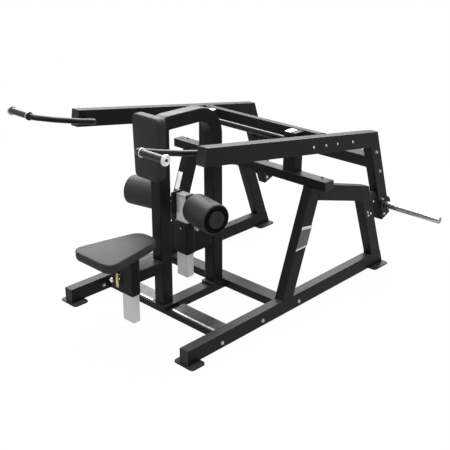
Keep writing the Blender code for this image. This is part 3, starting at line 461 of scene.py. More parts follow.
TREAD = BrushedPlate("brushed_tread", Slot.STEEL)
SEAT_HIDE = Leather("seat_leather", Slot.UPHOLSTERY)
PAD_HIDE = Leather("pad_leather", Slot.UPHOLSTERY, grey(0.022, -0.02))
ROLL_HIDE = Leather("roller_leather", Slot.UPHOLSTERY, grey(0.028, -0.02), 0.44)
THREAD = Thread("upholstery_thread", Slot.UPHOLSTERY, (0.03, 0.03, 0.031))
CAP_PLASTIC = Moulded("cap_plastic", Slot.RUBBER, (0.016, 0.016, 0.0165))
DISC_PLASTIC = Moulded("disc_plastic", Slot.RUBBER, (0.015, 0.015, 0.0152))
# Black of the rollers' end rings, made near-black so that it also paints the shade on them.
SHADED_END_BLACK = Moulded("end_black_painted_shade", Slot.RUBBER, grey(0.004), 0.55, 1.12)
PLUG_PLASTIC = Moulded("plug_plastic", Slot.RUBBER, (0.02, 0.02, 0.0205), 0.5)
GRIP_RUBBER = Moulded("grip_rubber", Slot.RUBBER, (0.014, 0.0135, 0.012), 0.16, 1.45, 0.00006)
STOP_RUBBER = Moulded("stop_rubber", Slot.RUBBER, (0.022, 0.021, 0.02), 0.62)
YELLOW = Moulded("yellow_pull", Slot.YELLOW, (0.9, 0.82, 0.36), 0.35, 1.45)
PALE_FOIL = Moulded("pale_foil", Slot.SILVER, (0.86, 0.86, 0.85), 0.4, texture=0.00003)
GREY_FOIL = Moulded("grey_foil", Slot.SILVER, (0.125, 0.125, 0.128), 0.32, texture=0.00003)


# Surfaces as whole arrays


@dataclass
class Shell:
    """A closed surface: points (n, 3) and faces as arrays of corner numbers."""

    points: np.ndarray
    quads: np.ndarray
    tris: np.ndarray

    def outward(self) -> "Shell":
        """Turns the faces outwards: the signed volume, summed over triangles, is made positive.

        Returns:
            The surface itself.
        """
        fans = np.concatenate([self.quads[:, [0, 1, 2]], self.quads[:, [0, 2, 3]], self.tris])
        a, b, c = (self.points[fans[:, i]] for i in range(3))
        if np.einsum("ij,ij->i", a, np.cross(b, c)).sum() < 0:
            self.quads, self.tris = self.quads[:, ::-1], self.tris[:, ::-1]
        return self


def ringed(rings: np.ndarray, loop: bool = False) -> Shell:
    """Joins neighbouring rings by quads; an open row ends in fans to its end rings' middles.

    Args:
        rings: Points as (rings, points per ring, 3).
        loop: Whether the last ring joins the first.

    Returns:
        The closed surface, faces outwards.
    """
    count, size = rings.shape[:2]
    points = rings.reshape(-1, 3)
    numbers = np.arange(count * size).reshape(count, size)
    after = np.roll(numbers, -1, axis=1)
    quads = np.stack([numbers, after, np.roll(after, -1, 0), np.roll(numbers, -1, 0)], axis=-1)
    if loop:
        return Shell(points, quads.reshape(-1, 4), np.zeros((0, 3), int)).outward()
    points = np.concatenate([points, rings[:1].mean(1), rings[-1:].mean(1)])
    first = np.stack([after[0], numbers[0], np.full(size, count * size)], axis=-1)
    last = np.stack([numbers[-1], after[-1], np.full(size, count * size + 1)], axis=-1)
    return Shell(points, quads[:-1].reshape(-1, 4), np.concatenate([first, last])).outward()


def full_turn(count: int) -> np.ndarray:
    """Evenly spaced angles round a circle."""
    return np.linspace(0, 2 * math.pi, count, endpoint=False)


def basis(axis: Sequence[float]) -> tuple[np.ndarray, np.ndarray, np.ndarray]:
    """Two directions across an axis, and the axis, all of length one.

    Args:
        axis: The direction.

    Returns:
        First across, second across, axis.
    """
    w = unit(axis)
    helper = np.array([0.0, 0.0, 1.0]) if abs(w[2]) < 0.9 else np.array([0.0, 1.0, 0.0])
    u = unit(np.cross(helper, w))
    return u, np.cross(w, u), w


def turned(levels: Sequence[tuple], origin: np.ndarray, axis: Sequence[float], count: int = 40) -> Shell:
    """A turned form: each (distance along the axis, radius) level is swung round into a ring.

    Args:
        levels: Distances, each with one radius or one for each point of its ring.
        origin: The axis's start.
        axis: Its direction.
        count: Points round each ring.

    Returns:
        The closed surface.
    """
    reach = np.array([level[0] for level in levels], float)[:, None, None]
    radius = np.array([np.broadcast_to(level[1], count) for level in levels])[..., None]
    u, v, w = basis(axis)
    angle = full_turn(count)[:, None]
    return ringed(origin + reach * w + radius * (np.cos(angle) * u + np.sin(angle) * v))


def rounded(points: Sequence[Pair]) -> list[Pair]:
    """Rounds each inner corner of a profile by a parabola.

    It leaves one side and meets the other at a third of the shorter side, at most 2 mm away.

    Args:
        points: Distances and radii.

    Returns:
        The rounded profile.
    """
    source = np.array(points, float)
    shaped = [tuple(source[0])]
    for before, corner, after in zip(source, source[1:], source[2:]):
        to_before, to_after = before - corner, after - corner
        cut = min(np.linalg.norm(to_before), np.linalg.norm(to_after), 0.006) / 3
        start, end = corner + unit(to_before) * cut, corner + unit(to_after) * cut
        along = np.linspace(0, 1, 4)[:, None]
        curve = (1 - along) ** 2 * start + 2 * along * (1 - along) * corner + along ** 2 * end
        shaped += [tuple(p) for p in curve]
    return shaped + [tuple(source[-1])]


def rounded_polygon(corners: Sequence[Pair], radii: Union[float, Sequence[float]], arc_points: int,
                    side_points: int) -> np.ndarray:
    """A polygon with its corners rounded by arcs, counter-clockwise.

    Each arc's centre lies on the corner's bisector at radius / sin(half the corner's angle), and
    straight sides between arcs are divided evenly.

    Args:
        corners: The sharp corners.
        radii: Their radii, one for all or one each.
        arc_points: Points on each arc.
        side_points: Extra points on each side.

    Returns:
        Points as (n, 2).
    """
    corners = np.array(corners, float)
    radii = np.broadcast_to(radii, len(corners))
    pieces = []
    for before, corner, after, radius in zip(np.roll(corners, 1, 0), corners,
                                             np.roll(corners, -1, 0), radii):
        a, b = unit(before - corner), unit(after - corner)
        half = math.acos(float(np.clip(a @ b, -1, 1))) / 2
        centre = corner + unit(a + b) * radius / math.sin(half)
        start = corner + a * radius / math.tan(half) - centre
        sweep = -math.copysign(math.pi - 2 * half, a[0] * b[1] - a[1] * b[0])
        angle = math.atan2(start[1], start[0]) + np.linspace(0, 1, arc_points) * sweep
        pieces.append(centre + radius * np.stack([np.cos(angle), np.sin(angle)], -1))
    filled = []
    share = np.linspace(0, 1, side_points + 2)[1:-1, None]
    for arc, following in zip(pieces, pieces[1:] + pieces[:1]):
        filled += [arc, arc[-1] * (1 - share) + following[0] * share]
    return np.concatenate(filled)


def inset(outline: np.ndarray, distance: float) -> np.ndarray:
    """Moves a counter-clockwise outline inwards, across the turned mean of neighbouring sides."""
    side = unit(np.roll(outline, -1, 0) - np.roll(outline, 1, 0))
    return outline + np.stack([-side[:, 1], side[:, 0]], -1) * distance


def slab(outline: np.ndarray, levels: Sequence[Pair], origin: Sequence[float],
         up: Sequence[float] = UP, across: Sequence[float] = ACROSS) -> Shell:
    """A flat form: the outline, moved inwards and raised level by level, joined into a surface.

    Args:
        outline: Points (n, 2), counter-clockwise.
        levels: (inset, height) pairs from the bottom to the top.
        origin: The outline plane's origin.
        up: The direction of height.
        across: The outline's first axis.

    Returns:
        The closed surface.
    """
    u, w = unit(across), unit(up)
    plane = np.array([u, np.cross(w, u)])
    return ringed(np.array([origin + inset(outline, cut) @ plane + height * w for cut, height in levels]))


def sideways(section: np.ndarray, levels: Sequence[Pair], face: float, side: float) -> Shell:
    """A section in the machine's Y and Z, moved inwards and carried outwards from a face of X.

    Args:
        section: Points (n, 2), counter-clockwise.
        levels: (inset, distance from the face) pairs.
        face: The face's distance from the middle.
        side: -1 or 1.

    Returns:
        The closed surface.
    """
    rings = [np.insert(inset(section, cut) - [CENTRE_Y, 0], 0, side * (face + reach), axis=1)
             for cut, reach in levels]
    return ringed(np.array(rings))


def bevelled(low: float, high: float, cut: float, rise: float) -> list[Pair]:
    """Levels of a plate from low to high whose edges are cut in over a rise at both faces."""
    return [(cut, low), (0.0, low + rise), (0.0, high - rise), (cut, high)]


def ring_path(path: np.ndarray, radii: Union[float, np.ndarray], count: int, loop: bool = False,
              hint: Triple = (0.31, 0.42, 0.85)) -> Shell:
    """A round bar along a path.

    At each station the ring lies across the path's direction; its first axis is the direction's
    cross product with a fixed hint that is never along the path.

    Args:
        path: Stations (n, 3).
        radii: One radius or one for each station.
        count: Points round the bar.
        loop: Whether the path closes on itself.
        hint: The fixed direction.

    Returns:
        The closed surface.
    """
    ahead, behind = np.roll(path, -1, 0), np.roll(path, 1, 0)
    if not loop:
        ahead[-1], behind[0] = path[-1], path[0]
    along = unit(ahead - behind)
    first = unit(np.cross(along, hint))[:, None]
    second = np.cross(along[:, None], first)
    angle = full_turn(count)[None, :, None]
    radius = np.reshape(radii, (-1, 1, 1))
    return ringed(path[:, None] + radius * (np.cos(angle) * first + np.sin(angle) * second), loop)


def bent_path(points: np.ndarray, radii: Sequence[float]) -> np.ndarray:
    """A path of straight runs joined by arcs.

    Each arc leaves and meets the runs at radius * tan(half the turn) from the corner.

    Args:
        points: The runs' corners (n, 3).
        radii: Radius of each inner corner.

    Returns:
        Stations (m, 3).
    """
    pieces = [points[:1]]
    for before, corner, after, radius in zip(points, points[1:], points[2:], radii):
        come, go = unit(corner - before), unit(after - corner)
        turn = math.acos(float(np.clip(come @ go, -1, 1)))
        start = corner - come * radius * math.tan(turn / 2)
        inward = unit(go - come * (come @ go))
        angle = np.linspace(0, turn, 14)[:, None]
        pieces.append(start + radius * (np.sin(angle) * come + (1 - np.cos(angle)) * inward))
    return np.concatenate(pieces + [points[-1:]])


def even(path: np.ndarray, spacing: float) -> np.ndarray:
    """Divides a closed path evenly by its own length, at a rough spacing.

    Args:
        path: Stations (n, 3).
        spacing: Rough distance between the new stations.

    Returns:
        The new stations.
    """
    source = np.concatenate([path, path[:1]])
    length = np.concatenate([[0], np.cumsum(np.linalg.norm(np.diff(source, axis=0), axis=1))])
    where = np.linspace(0, length[-1], max(3, round(length[-1] / spacing)) + 1)[:-1]
    return np.stack([np.interp(where, length, source[:, i]) for i in range(3)], -1)


def joined(shells: Sequence[Shell]) -> Shell:
    """Puts several closed surfaces into one, each keeping its own faces.

    Args:
        shells: The surfaces.

    Returns:
        One surface.
    """
    offsets = np.cumsum([0] + [len(s.points) for s in shells[:-1]])
    return Shell(np.concatenate([s.points for s in shells]),
                 *(np.concatenate([getattr(s, kind) + o for s, o in zip(shells, offsets)])
                   for kind in ("quads", "tris")))


def hex_radius(count: int, across_flats: float) -> np.ndarray:
    """A hexagon's radius round a turn: half its width over the cosine from the nearest flat."""
    return across_flats / 2 / np.cos((full_turn(count) + math.pi / 6) % (math.pi / 3) - math.pi / 6)


def socket_screw(place: np.ndarray, axis: Sequence[float], radius: float) -> Shell:
    """A button-head screw: a dome of half-ellipse height with a hexagonal pocket.

    Args:
        place: The head's seat.
        axis: Direction out of the surface.
        radius: The head's radius.

    Returns:
        The closed surface.
    """
    pocket = hex_radius(36, radius * 0.8)
    low, tall = 0.12 * radius, 0.62 * radius
    dome = [(low + (tall - low) * math.sin(t), (0.55 + 0.45 * math.cos(t)) * radius)
            for t in np.linspace(0, math.pi / 2, 8)[:-1]]
    ends = [(tall, pocket * 1.08), (tall - 0.0004, pocket), (tall - 0.35 * radius, pocket * 0.96)]
    return turned([(0.0, radius * 0.96), *dome, *ends], place, axis, 36)


def hex_bolt(place: np.ndarray, axis: Sequence[float], flats: float) -> Shell:
    """A hexagon head on a round washer; its crown's radius is at most a circle's.

    Args:
        place: The head's seat.
        axis: Direction out of the surface.
        flats: Width across the flats.

    Returns:
        The closed surface.
    """
    head, disc, thick = hex_radius(48, flats), flats * 0.74, 0.0018
    tall = thick + flats * 0.42
    bevel, crown = np.minimum(head, flats * 0.53), np.minimum(head, flats * 0.47)
    washer = [(0.0, disc * 0.97), (0.0004, disc), (thick - 0.0004, disc), (thick, disc * 0.97)]
    return turned([*washer, (thick, head), (tall - 0.0012, head), (tall - 0.0004, bevel), (tall, crown),
                   (tall, crown * 0.5)], place, axis, 48)


# Pieces


def in_scene(name: str, data: bpy.types.ID) -> bpy.types.Object:
    """A new object in the scene.

    Args:
        name: Name of the object.
        data: Its mesh, light or camera.

    Returns:
        The object.
    """
    obj = bpy.data.objects.new(name, data)
    bpy.context.scene.collection.objects.link(obj)
    return obj


def flatten(obj: bpy.types.Object) -> None:
    """Keeps flat faces flat beside rounded edges: the larger face leads the shared normal."""
    made = obj.modifiers.new("flat_faces", "WEIGHTED_NORMAL")
    made.mode, made.weight, made.keep_sharp = "FACE_AREA", 80, True


def from_shell(name: str, shell: Shell) -> bpy.types.Object:
    """Puts a surface into a new object.

    Args:
        name: Name of the object.
        shell: The surface.

    Returns:
        The object.
    """
    mesh = bpy.data.meshes.new(name)
    mesh.from_pydata(shell.points.tolist(), [], shell.quads.tolist() + shell.tris.tolist())
    mesh.validate()
    return in_scene(name, mesh)


def settle(obj: bpy.types.Object, finish: Finish, body: Body, stands_for: Sequence[str] = ()) -> None:
    """Gives an object its finish and its place among the bodies, and reports it.

    Args:
        obj: The piece.
        finish: Its finish.
        body: The body it rides on.
        stands_for: CAD nodes it replaces.
    """
    obj.data.materials.clear()
    obj.data.materials.append(finish.material())
    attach(obj, body.value)
    if stands_for:
        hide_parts(*stands_for)
    LOG.info("%s: %s on %s, %d faces", obj.name, finish.name, body.value, len(obj.data.polygons))


def piece(name: str, shells: Union[Shell, Sequence[Shell]], finish: Finish, body: Body,
          stands_for: Sequence[str] = (), angle: float = 38.0) -> bpy.types.Object:
    """Makes a piece from one or several closed surfaces.

    Args:
        name: The piece's name.
        shells: Its surfaces.
        finish: Its finish.
        body: The body it rides on.
        stands_for: CAD nodes it replaces.
        angle: Edges sharper than this, in degrees, stay sharp.

    Returns:
        The new object.
    """
    obj = from_shell(name, shells if isinstance(shells, Shell) else joined(shells))
    obj.data.shade_smooth()
    obj.data.set_sharp_from_angle(angle=math.radians(angle))
    flatten(obj)
    settle(obj, finish, body, stands_for)
    return obj


def coords_of(mesh: bpy.types.Mesh, what: str = "co") -> np.ndarray:
    """A mesh's vertex positions or normals.

    Args:
        mesh: The mesh.
        what: "co" for positions or "normal" for normals.

    Returns:
        An array (n, 3).
    """
    flat = np.zeros(len(mesh.vertices) * 3, np.float32)
    mesh.vertices.foreach_get(what, flat)
    return flat.reshape(-1, 3).astype(float)


def end_outline(node: str, facing: Triple, spacing: float) -> np.ndarray:
    """The outer outline of a CAD node's flat end.

    The end's vertices are those furthest along the facing direction. In their plane, the furthest
    vertex towards each of 180 directions, taken in order, gives the outline.

    Args:
        node: The CAD node.
        facing: The direction the end faces.
        spacing: Distance between the outline's points.

    Returns:
        Points (n, 3), evenly spaced.
    """
    points = coords_of(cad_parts[node].data)
    u, v, w = basis(facing)
    height = points @ w
    flat = points[height > height.max() - 0.0004]
    angle = full_turn(180)
    chosen = np.argmax(flat @ np.stack([u, v], -1) @ np.stack([np.cos(angle), np.sin(angle)]), axis=0)
    return even(flat[chosen[np.r_[True, chosen[1:] != chosen[:-1]]]], spacing)


def bead(name: str, node: str, facing: Triple, body: Body, radius: float = 0.0028) -> None:
    """Lays a weld bead round a tube's end, its radius rippling every 3.6 mm.

    Args:
        name: The piece's name.
        node: The CAD node whose end is welded.
        facing: The direction its end faces.
        body: The body it rides on.
        radius: The bead's mean radius.
    """
    path = end_outline(node, facing, 0.0012)
    ripple = 1 + 0.14 * np.abs(np.sin(np.arange(len(path)) * math.pi / 3))
    w = basis(facing)[2]
    bar = ring_path(path - w * radius * 0.25, radius * ripple, 8, True, w + 0.001)
    piece(name, bar, BEAD, body, angle=60)


def plug(name: str, node: str, facing: Triple, body: Body, thick: float = 0.0035) -> None:
    """Closes a tube's end with a plastic plug whose rim is rounded and whose face is dished.

    Args:
        name: The piece's name.
        node: The CAD node whose end is closed.
        facing: The direction its end faces.
        body: The body it rides on.
        thick: How far the plug stands out.
    """
    path = end_outline(node, facing, 0.006)
    u, v, w = basis(facing)
    middle = path.mean(0)
    levels = [(0.0012, 0.0002), (0.0006, 0.0008), (0.0006, thick - 0.0012), (0.0012, thick - 0.0004),
              (0.0026, thick), (0.0075, thick), (0.0085, thick - 0.0012), (0.012, thick - 0.0014)]
    outline = (path - middle) @ np.stack([u, v], -1)
    piece(name, slab(outline, levels, middle, w, u), PLUG_PLASTIC, body)


def merge_group() -> bpy.types.NodeTree:
    """The geometry nodes that join a CAD node's loose triangles and smooth its rounded corners.

    Stored corner normals are dropped, vertices closer than 0.01 mm merge, and edges sharper than
    30 degrees stay sharp.

    Returns:
        The node group, made once.
    """
    known = bpy.data.node_groups.get("joined_triangles")
    if known:
        return known
    tree = bpy.data.node_groups.new("joined_triangles", "GeometryNodeTree")
    for way in ("INPUT", "OUTPUT"):
        tree.interface.new_socket("Geometry", in_out=way, socket_type="NodeSocketGeometry")
    graph = Graph(tree)
    edge = graph.node("GeometryNodeInputMeshEdgeAngle")
    gentle = graph.node("FunctionNodeCompare", {"data_type": "FLOAT", "operation": "LESS_THAN"},
                        {0: edge.outputs[0], 1: math.radians(30)})
    made = graph.node("NodeGroupInput")
    for kind, settings, sockets in (
            ("GeometryNodeRemoveAttribute", None, {"Name": "custom_normal"}),
            ("GeometryNodeMergeByDistance", None, {"Distance": 0.00001}),
            ("GeometryNodeSetShadeSmooth", {"domain": "FACE"}, {"Shade Smooth": True}),
            ("GeometryNodeSetShadeSmooth", {"domain": "EDGE"}, {"Shade Smooth": gentle.outputs[0]}),
            ("NodeGroupOutput", None, {})):
        made = graph.node(kind, settings, {0: made.outputs[0]} | sockets)
    return tree


def coat_nodes(finish: Finish, *nodes: str) -> None:
    """Gives CAD nodes a finish and smooth corners; their own meshes stay as they are.

    Args:
        finish: The finish.
        *nodes: The CAD nodes.
    """
    for node in nodes:
        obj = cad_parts[node]
        if not obj.material_slots:
            obj.data.materials.append(None)
        for held in obj.material_slots:
            held.material = finish.material()
        obj.modifiers.new("joined_triangles", "NODES").node_group = merge_group()
        flatten(obj)
        LOG.info("%s: %s", node, finish.name)


def both(*names: str) -> list[str]:
    """The left and right names of paired nodes."""
    return [f"{word}_{name}" for name in names for word, _ in SIDES]


# Studio


@dataclass
class Studio:
    """Camera, white room, soft lamps and pale floor."""

    camera_at: Triple = (3.587, -3.7614, 2.653)
    yaw: float = 0.7575
    pitch: float = 0.3976
    roll: float = -0.00627
    lens: float = 65.2
    ambient: float = 0.62
    mirrored: float = 0.2
    bounce: float = 0.55
    floor_half: float = 40.0
    shadow_ends: Pair = (2.2, 4.5)

    def camera(self) -> None:
        """Sets the camera at the photograph's viewing angle."""
        data = bpy.data.cameras.new("camera")
        data.sensor_width, data.lens, data.clip_end = 36.0, self.lens, 100.0
        obj = in_scene("camera", data)
        ahead = Vector((-math.sin(self.yaw) * math.cos(self.pitch),
                        math.cos(self.yaw) * math.cos(self.pitch), -math.sin(self.pitch)))
        look = ahead.to_track_quat("-Z", "Y").to_matrix().to_4x4()
        obj.matrix_world = Matrix.Translation(self.camera_at) @ look @ Matrix.Rotation(-self.roll, 4, "Z")
        bpy.context.scene.camera = obj

    def strength(self, graph: Graph, lit: float) -> Value:
        """Brightness by kind of ray: 1 where it is seen, less where it is mirrored or lights.

        Args:
            graph: The graph that needs it.
            lit: Brightness for rays that light.

        Returns:
            The strength.
        """
        rays = graph.node("ShaderNodeLightPath").outputs
        camera, glossy, through = (Value(graph, rays[f"Is {kind} Ray"])
                                   for kind in ("Camera", "Glossy", "Transmission"))
        seen = (camera + glossy * self.mirrored + through).at_most(1.0)
        return seen + (1 - seen) * lit

    def room(self) -> None:
        """A world that is white where it is seen and softer where it lights."""
        world = bpy.data.worlds.new("white_room")
        world.use_nodes = True
        graph = Graph(world.node_tree)
        sockets = {"Color": toned(grey(1.0)), "Strength": self.strength(graph, self.ambient)}
        graph.end("World", graph.node("ShaderNodeBackground", None, sockets))
        bpy.context.scene.world = world

    def floor(self) -> None:
        """A pale floor, white to the eye, on which the object's shadow still shows faintly."""
        half = self.floor_half
        mesh = bpy.data.meshes.new("floor")
        corners = [(-half, -half, 0), (half, -half, 0), (half, half, 0), (-half, half, 0)]
        mesh.from_pydata(corners, [], [(0, 1, 2, 3)])
        obj = in_scene("floor", mesh)
        material = bpy.data.materials.new("pale_floor")
        material.use_nodes = True
        graph = Graph(material.node_tree)
        x, y, _ = graph.axes()
        share = ((x * x + y * y) ** 0.5).step(*self.shadow_ends) * 0.035 + 0.965
        lit = graph.node("ShaderNodeBsdfDiffuse", None, {"Color": toned(grey(0.55))})
        sockets = {"Color": toned(grey(1.0)), "Strength": self.strength(graph, self.bounce)}
        glow = graph.node("ShaderNodeEmission", None, sockets)
        graph.end("Material", graph.node("ShaderNodeMixShader", None,
                                         {0: share, 1: lit.outputs[0], 2: glow.outputs[0]}))
        mesh.materials.append(material)

    @staticmethod
    def lamp(name: str, at: Triple, aim: Triple, size: Pair, radiance: float) -> None:
        """Adds a soft box.

        Args:
            name: The lamp's name.
            at: Its place.
            aim: The point it faces.
            size: Its width and height.
            radiance: Brightness of its face, where 1 looks white.
        """
        data = bpy.data.lights.new(name, "AREA")
        data.shape = "RECTANGLE"
        data.size, data.size_y = size
        data.energy = radiance * math.pi * size[0] * size[1]
        obj = in_scene(name, data)
        obj.location = at
        obj.rotation_euler = (Vector(aim) - Vector(at)).to_track_quat("-Z", "Y").to_euler()
        obj.visible_camera = False

    def build(self) -> None:
        """Makes the whole studio."""
        self.camera()
        self.room()
        self.floor()
        self.lamp("back_box", (-3.9, 4.1, 5.0), (0, 0, 0.7), (9.0, 4.2), 7.5)
        self.lamp("top_box", (0.0, 0.0, 5.2), (0, 0, 0.5), (4.5, 4.5), 7.0)


# Soft goods


def distances(points: np.ndarray, line: np.ndarray) -> np.ndarray:
    """Each point's distance to the nearest of a line's stations, in blocks to spare memory."""
    return np.concatenate([np.sqrt(((block[:, None] - line[None]) ** 2).sum(-1)).min(1)
                           for block in np.array_split(points, max(1, len(points) // 4000))])


@dataclass
class Upholstered:
    """A boxed cushion: a top panel and side walls of leather over foam, sewn at a welted edge."""

    name: str
    corners: Sequence[Pair]
    radii: Union[float, Sequence[float]]
    thick: float
    origin: np.ndarray
    up: Triple
    finish: Finish
    body: Body
    crown: float
    edge: float
    stands_for: Sequence[str]
    swell_cap: float = 0.006
    voxel: float = 0.0055
    pressure: float = 4.0
    stitch: Pair = (0.0042, 0.0068)

    def outline(self) -> np.ndarray:
        """The cushion's outline in its own plane."""
        return rounded_polygon(self.corners, self.radii, 14, 12)

    def placed(self, outline: np.ndarray, height: float) -> np.ndarray:
        """Takes points from the cushion's plane and a height above its board to the model's frame."""
        plane = np.array([ACROSS, np.cross(self.up, ACROSS)])
        return self.origin + outline @ plane + height * np.array(self.up)

    def shape(self) -> Shell:
        """The cushion before it swells.

        Walls rise straight, turn over at the welted edge in an arc, and the panel rises to the
        middle by crown * (1 - share^2.4), share being how far out a ring lies.

        Returns:
            The closed surface.
        """
        outline = self.outline()
        low = [(0.004, 0.0), (0.001, 0.0012), (0.0, 0.005)]
        wall = [(0.0, h) for h in np.linspace(0.01, self.thick - self.edge - 0.002, 5)]
        edge = [(self.edge * (1 - math.cos(t)), self.thick - self.edge * (1 - math.sin(t)))
                for t in np.linspace(0, math.pi / 2, 6)]
        rings = [self.placed(inset(outline, cut), height) for cut, height in low + wall + edge]
        middle, rim = outline.mean(0), inset(outline, self.edge)
        rings += [self.placed(middle + (rim - middle) * share,
                              self.thick + self.crown * (1 - share ** 2.4))
                  for share in np.linspace(0.95, 0.06, 16)]
        return ringed(np.array(rings))

    def seam(self, spacing: float, drop: float = 0.0) -> np.ndarray:
        """The welted edge's line, or one below it.

        Args:
            spacing: Distance between its stations.
            drop: How far down the wall.

        Returns:
            Stations (n, 3).
        """
        turned_in = self.edge * (1 - math.cos(math.pi / 4)) if drop == 0 else 0.0
        height = self.thick - self.edge * (1 - math.sin(math.pi / 4)) - drop
        return even(self.placed(inset(self.outline(), turned_in), height), spacing)

    def swell(self, obj: bpy.types.Object) -> None:
        """Fills the cover by cloth simulation: pressure swells it, and the seams hold.

        The cover is remeshed evenly, seams and base are held, 20 frames run without gravity, and
        no point may move further than the cap.

        Args:
            obj: The cushion.
        """
        scene = bpy.context.scene
        remesh = obj.modifiers.new("even_faces", "REMESH")
        remesh.mode, remesh.voxel_size = "VOXEL", self.voxel
        self.bake(obj)
        rest = coords_of(obj.data)
        height = (rest - self.origin) @ np.array(self.up, float)
        held = (distances(rest, self.seam(0.004)) < self.voxel * 0.8) | (height < self.voxel)
        obj.vertex_groups.new(name="held").add(np.flatnonzero(held).tolist(), 1.0, "REPLACE")
        cloth = obj.modifiers.new("swell", "CLOTH")
        settings = cloth.settings
        settings.quality = 5
        settings.mass = 0.3
        settings.tension_stiffness = settings.compression_stiffness = 12.0
        settings.bending_stiffness = 2.0
        settings.use_pressure = True
        settings.uniform_pressure_force = self.pressure
        settings.vertex_group_mass = "held"
        settings.effector_weights.gravity = 0.0
        cloth.point_cache.frame_start, cloth.point_cache.frame_end = 1, 20
        for number in range(1, 21):
            scene.frame_set(number)
        evaluated = obj.evaluated_get(bpy.context.evaluated_depsgraph_get())
        moved = coords_of(evaluated.to_mesh()) - rest
        evaluated.to_mesh_clear()
        length = np.linalg.norm(moved, axis=1, keepdims=True)
        moved *= np.minimum(1.0, self.swell_cap / np.maximum(length, 1e-9))
        obj.modifiers.remove(cloth)
        obj.vertex_groups.clear()
        scene.frame_set(1)
        obj.data.vertices.foreach_set("co", (rest + moved).ravel())
        LOG.info("%s swelled by %.1f mm at most", obj.name, 1000 * float(length.max()))

    @staticmethod
    def bake(obj: bpy.types.Object) -> None:
        """Applies the object's modifiers to its mesh.

        Args:
            obj: The object.
        """
        graph = bpy.context.evaluated_depsgraph_get()
        mesh = bpy.data.meshes.new_from_object(obj.evaluated_get(graph))
        obj.modifiers.clear()
        old, obj.data = obj.data, mesh
        bpy.data.meshes.remove(old)
        mesh.name = obj.name

    def draw_in(self, obj: bpy.types.Object) -> None:
        """Sinks the cover along the seam: 1.2 mm * exp(-(distance / 2.5 mm)^2) against the normal.

        Args:
            obj: The cushion.
        """
        points, normals = coords_of(obj.data), coords_of(obj.data, "normal")
        away = distances(points, self.seam(0.0015))
        points -= normals * (0.0012 * np.exp(-(away / 0.0025) ** 2))[:, None]
        obj.data.vertices.foreach_set("co", points.ravel())
        obj.data.update()

    def cling(self, obj: bpy.types.Object, line: np.ndarray, lift: float) -> tuple[np.ndarray, np.ndarray]:
        """Moves a line's stations to the planes that touch the cover at their nearest vertices.

        Args:
            obj: The cushion.
            line: Stations (n, 3).
            lift: Height above the cover.

        Returns:
            The stations on the cover, and the cover's normals there.
        """
        points, normals = coords_of(obj.data), coords_of(obj.data, "normal")
        near = np.concatenate([((block[:, None] - points[None]) ** 2).sum(-1).argmin(1)
                               for block in np.array_split(line, max(1, len(line) // 100))])
        up = unit(normals[near])
        depth = np.einsum("ij,ij->i", line - points[near], up)
        return line - up * (depth - lift)[:, None], up

    def stitches(self, obj: bpy.types.Object, drop: float) -> Shell:
        """A row of stitches on the wall, each a small rounded bar laid along the seam.

        Args:
            obj: The cushion.
            drop: How far below the welted edge.

        Returns:
            All stitches as one set of closed surfaces.
        """
        length, gap = self.stitch
        places, up = self.cling(obj, self.seam(gap, drop), 0.0001)
        along = unit(np.roll(places, -1, 0) - np.roll(places, 1, 0))
        share = np.linspace(-1, 1, 5)[:, None]
        girth = 0.00045 * np.sqrt(np.maximum(1 - share ** 4, 0.04))
        angle = full_turn(6)
        local = np.stack(np.broadcast_arrays(share * length / 2, girth * np.cos(angle),
                                             girth * np.sin(angle)), -1)
        rings = np.einsum("rpk,skj->srpj", local, np.stack([along, np.cross(up, along), up], 1))
        rings += places[:, None, None]
        model = ringed(rings[0])
        points = np.concatenate([rings.reshape(len(rings), -1, 3), rings[:, :1].mean(2),
                                 rings[:, -1:].mean(2)], 1)
        step = len(model.points) * np.arange(len(rings))[:, None, None]
        return Shell(points.reshape(-1, 3), (model.quads[None] + step).reshape(-1, 4),
                     (model.tris[None] + step).reshape(-1, 3))

    def build(self) -> None:
        """Makes the cover, its welt and its stitches."""
        obj = from_shell(self.name, self.shape())
        self.swell(obj)
        level = obj.modifiers.new("finer", "SUBSURF")
        level.levels = level.render_levels = 1
        self.bake(obj)
        self.draw_in(obj)
        obj.data.shade_smooth()
        settle(obj, self.finish, self.body, self.stands_for)
        welt, _ = self.cling(obj, self.seam(0.003), 0.0004)
        piece(f"{self.name}_welt", ring_path(welt, 0.0015, 10, True, self.up), self.finish, self.body)
        piece(f"{self.name}_stitches", self.stitches(obj, 0.006), THREAD, self.body, angle=70)


# Sub-assemblies


class Assembly:
    """A sub-assembly: CAD nodes that only get a finish, and the pieces made around them."""

    coats: ClassVar[Sequence[tuple]] = ()

    def dress(self) -> None:
        """Coats the CAD nodes that stay."""
        for finish, *nodes in self.coats:
            coat_nodes(finish, *nodes)


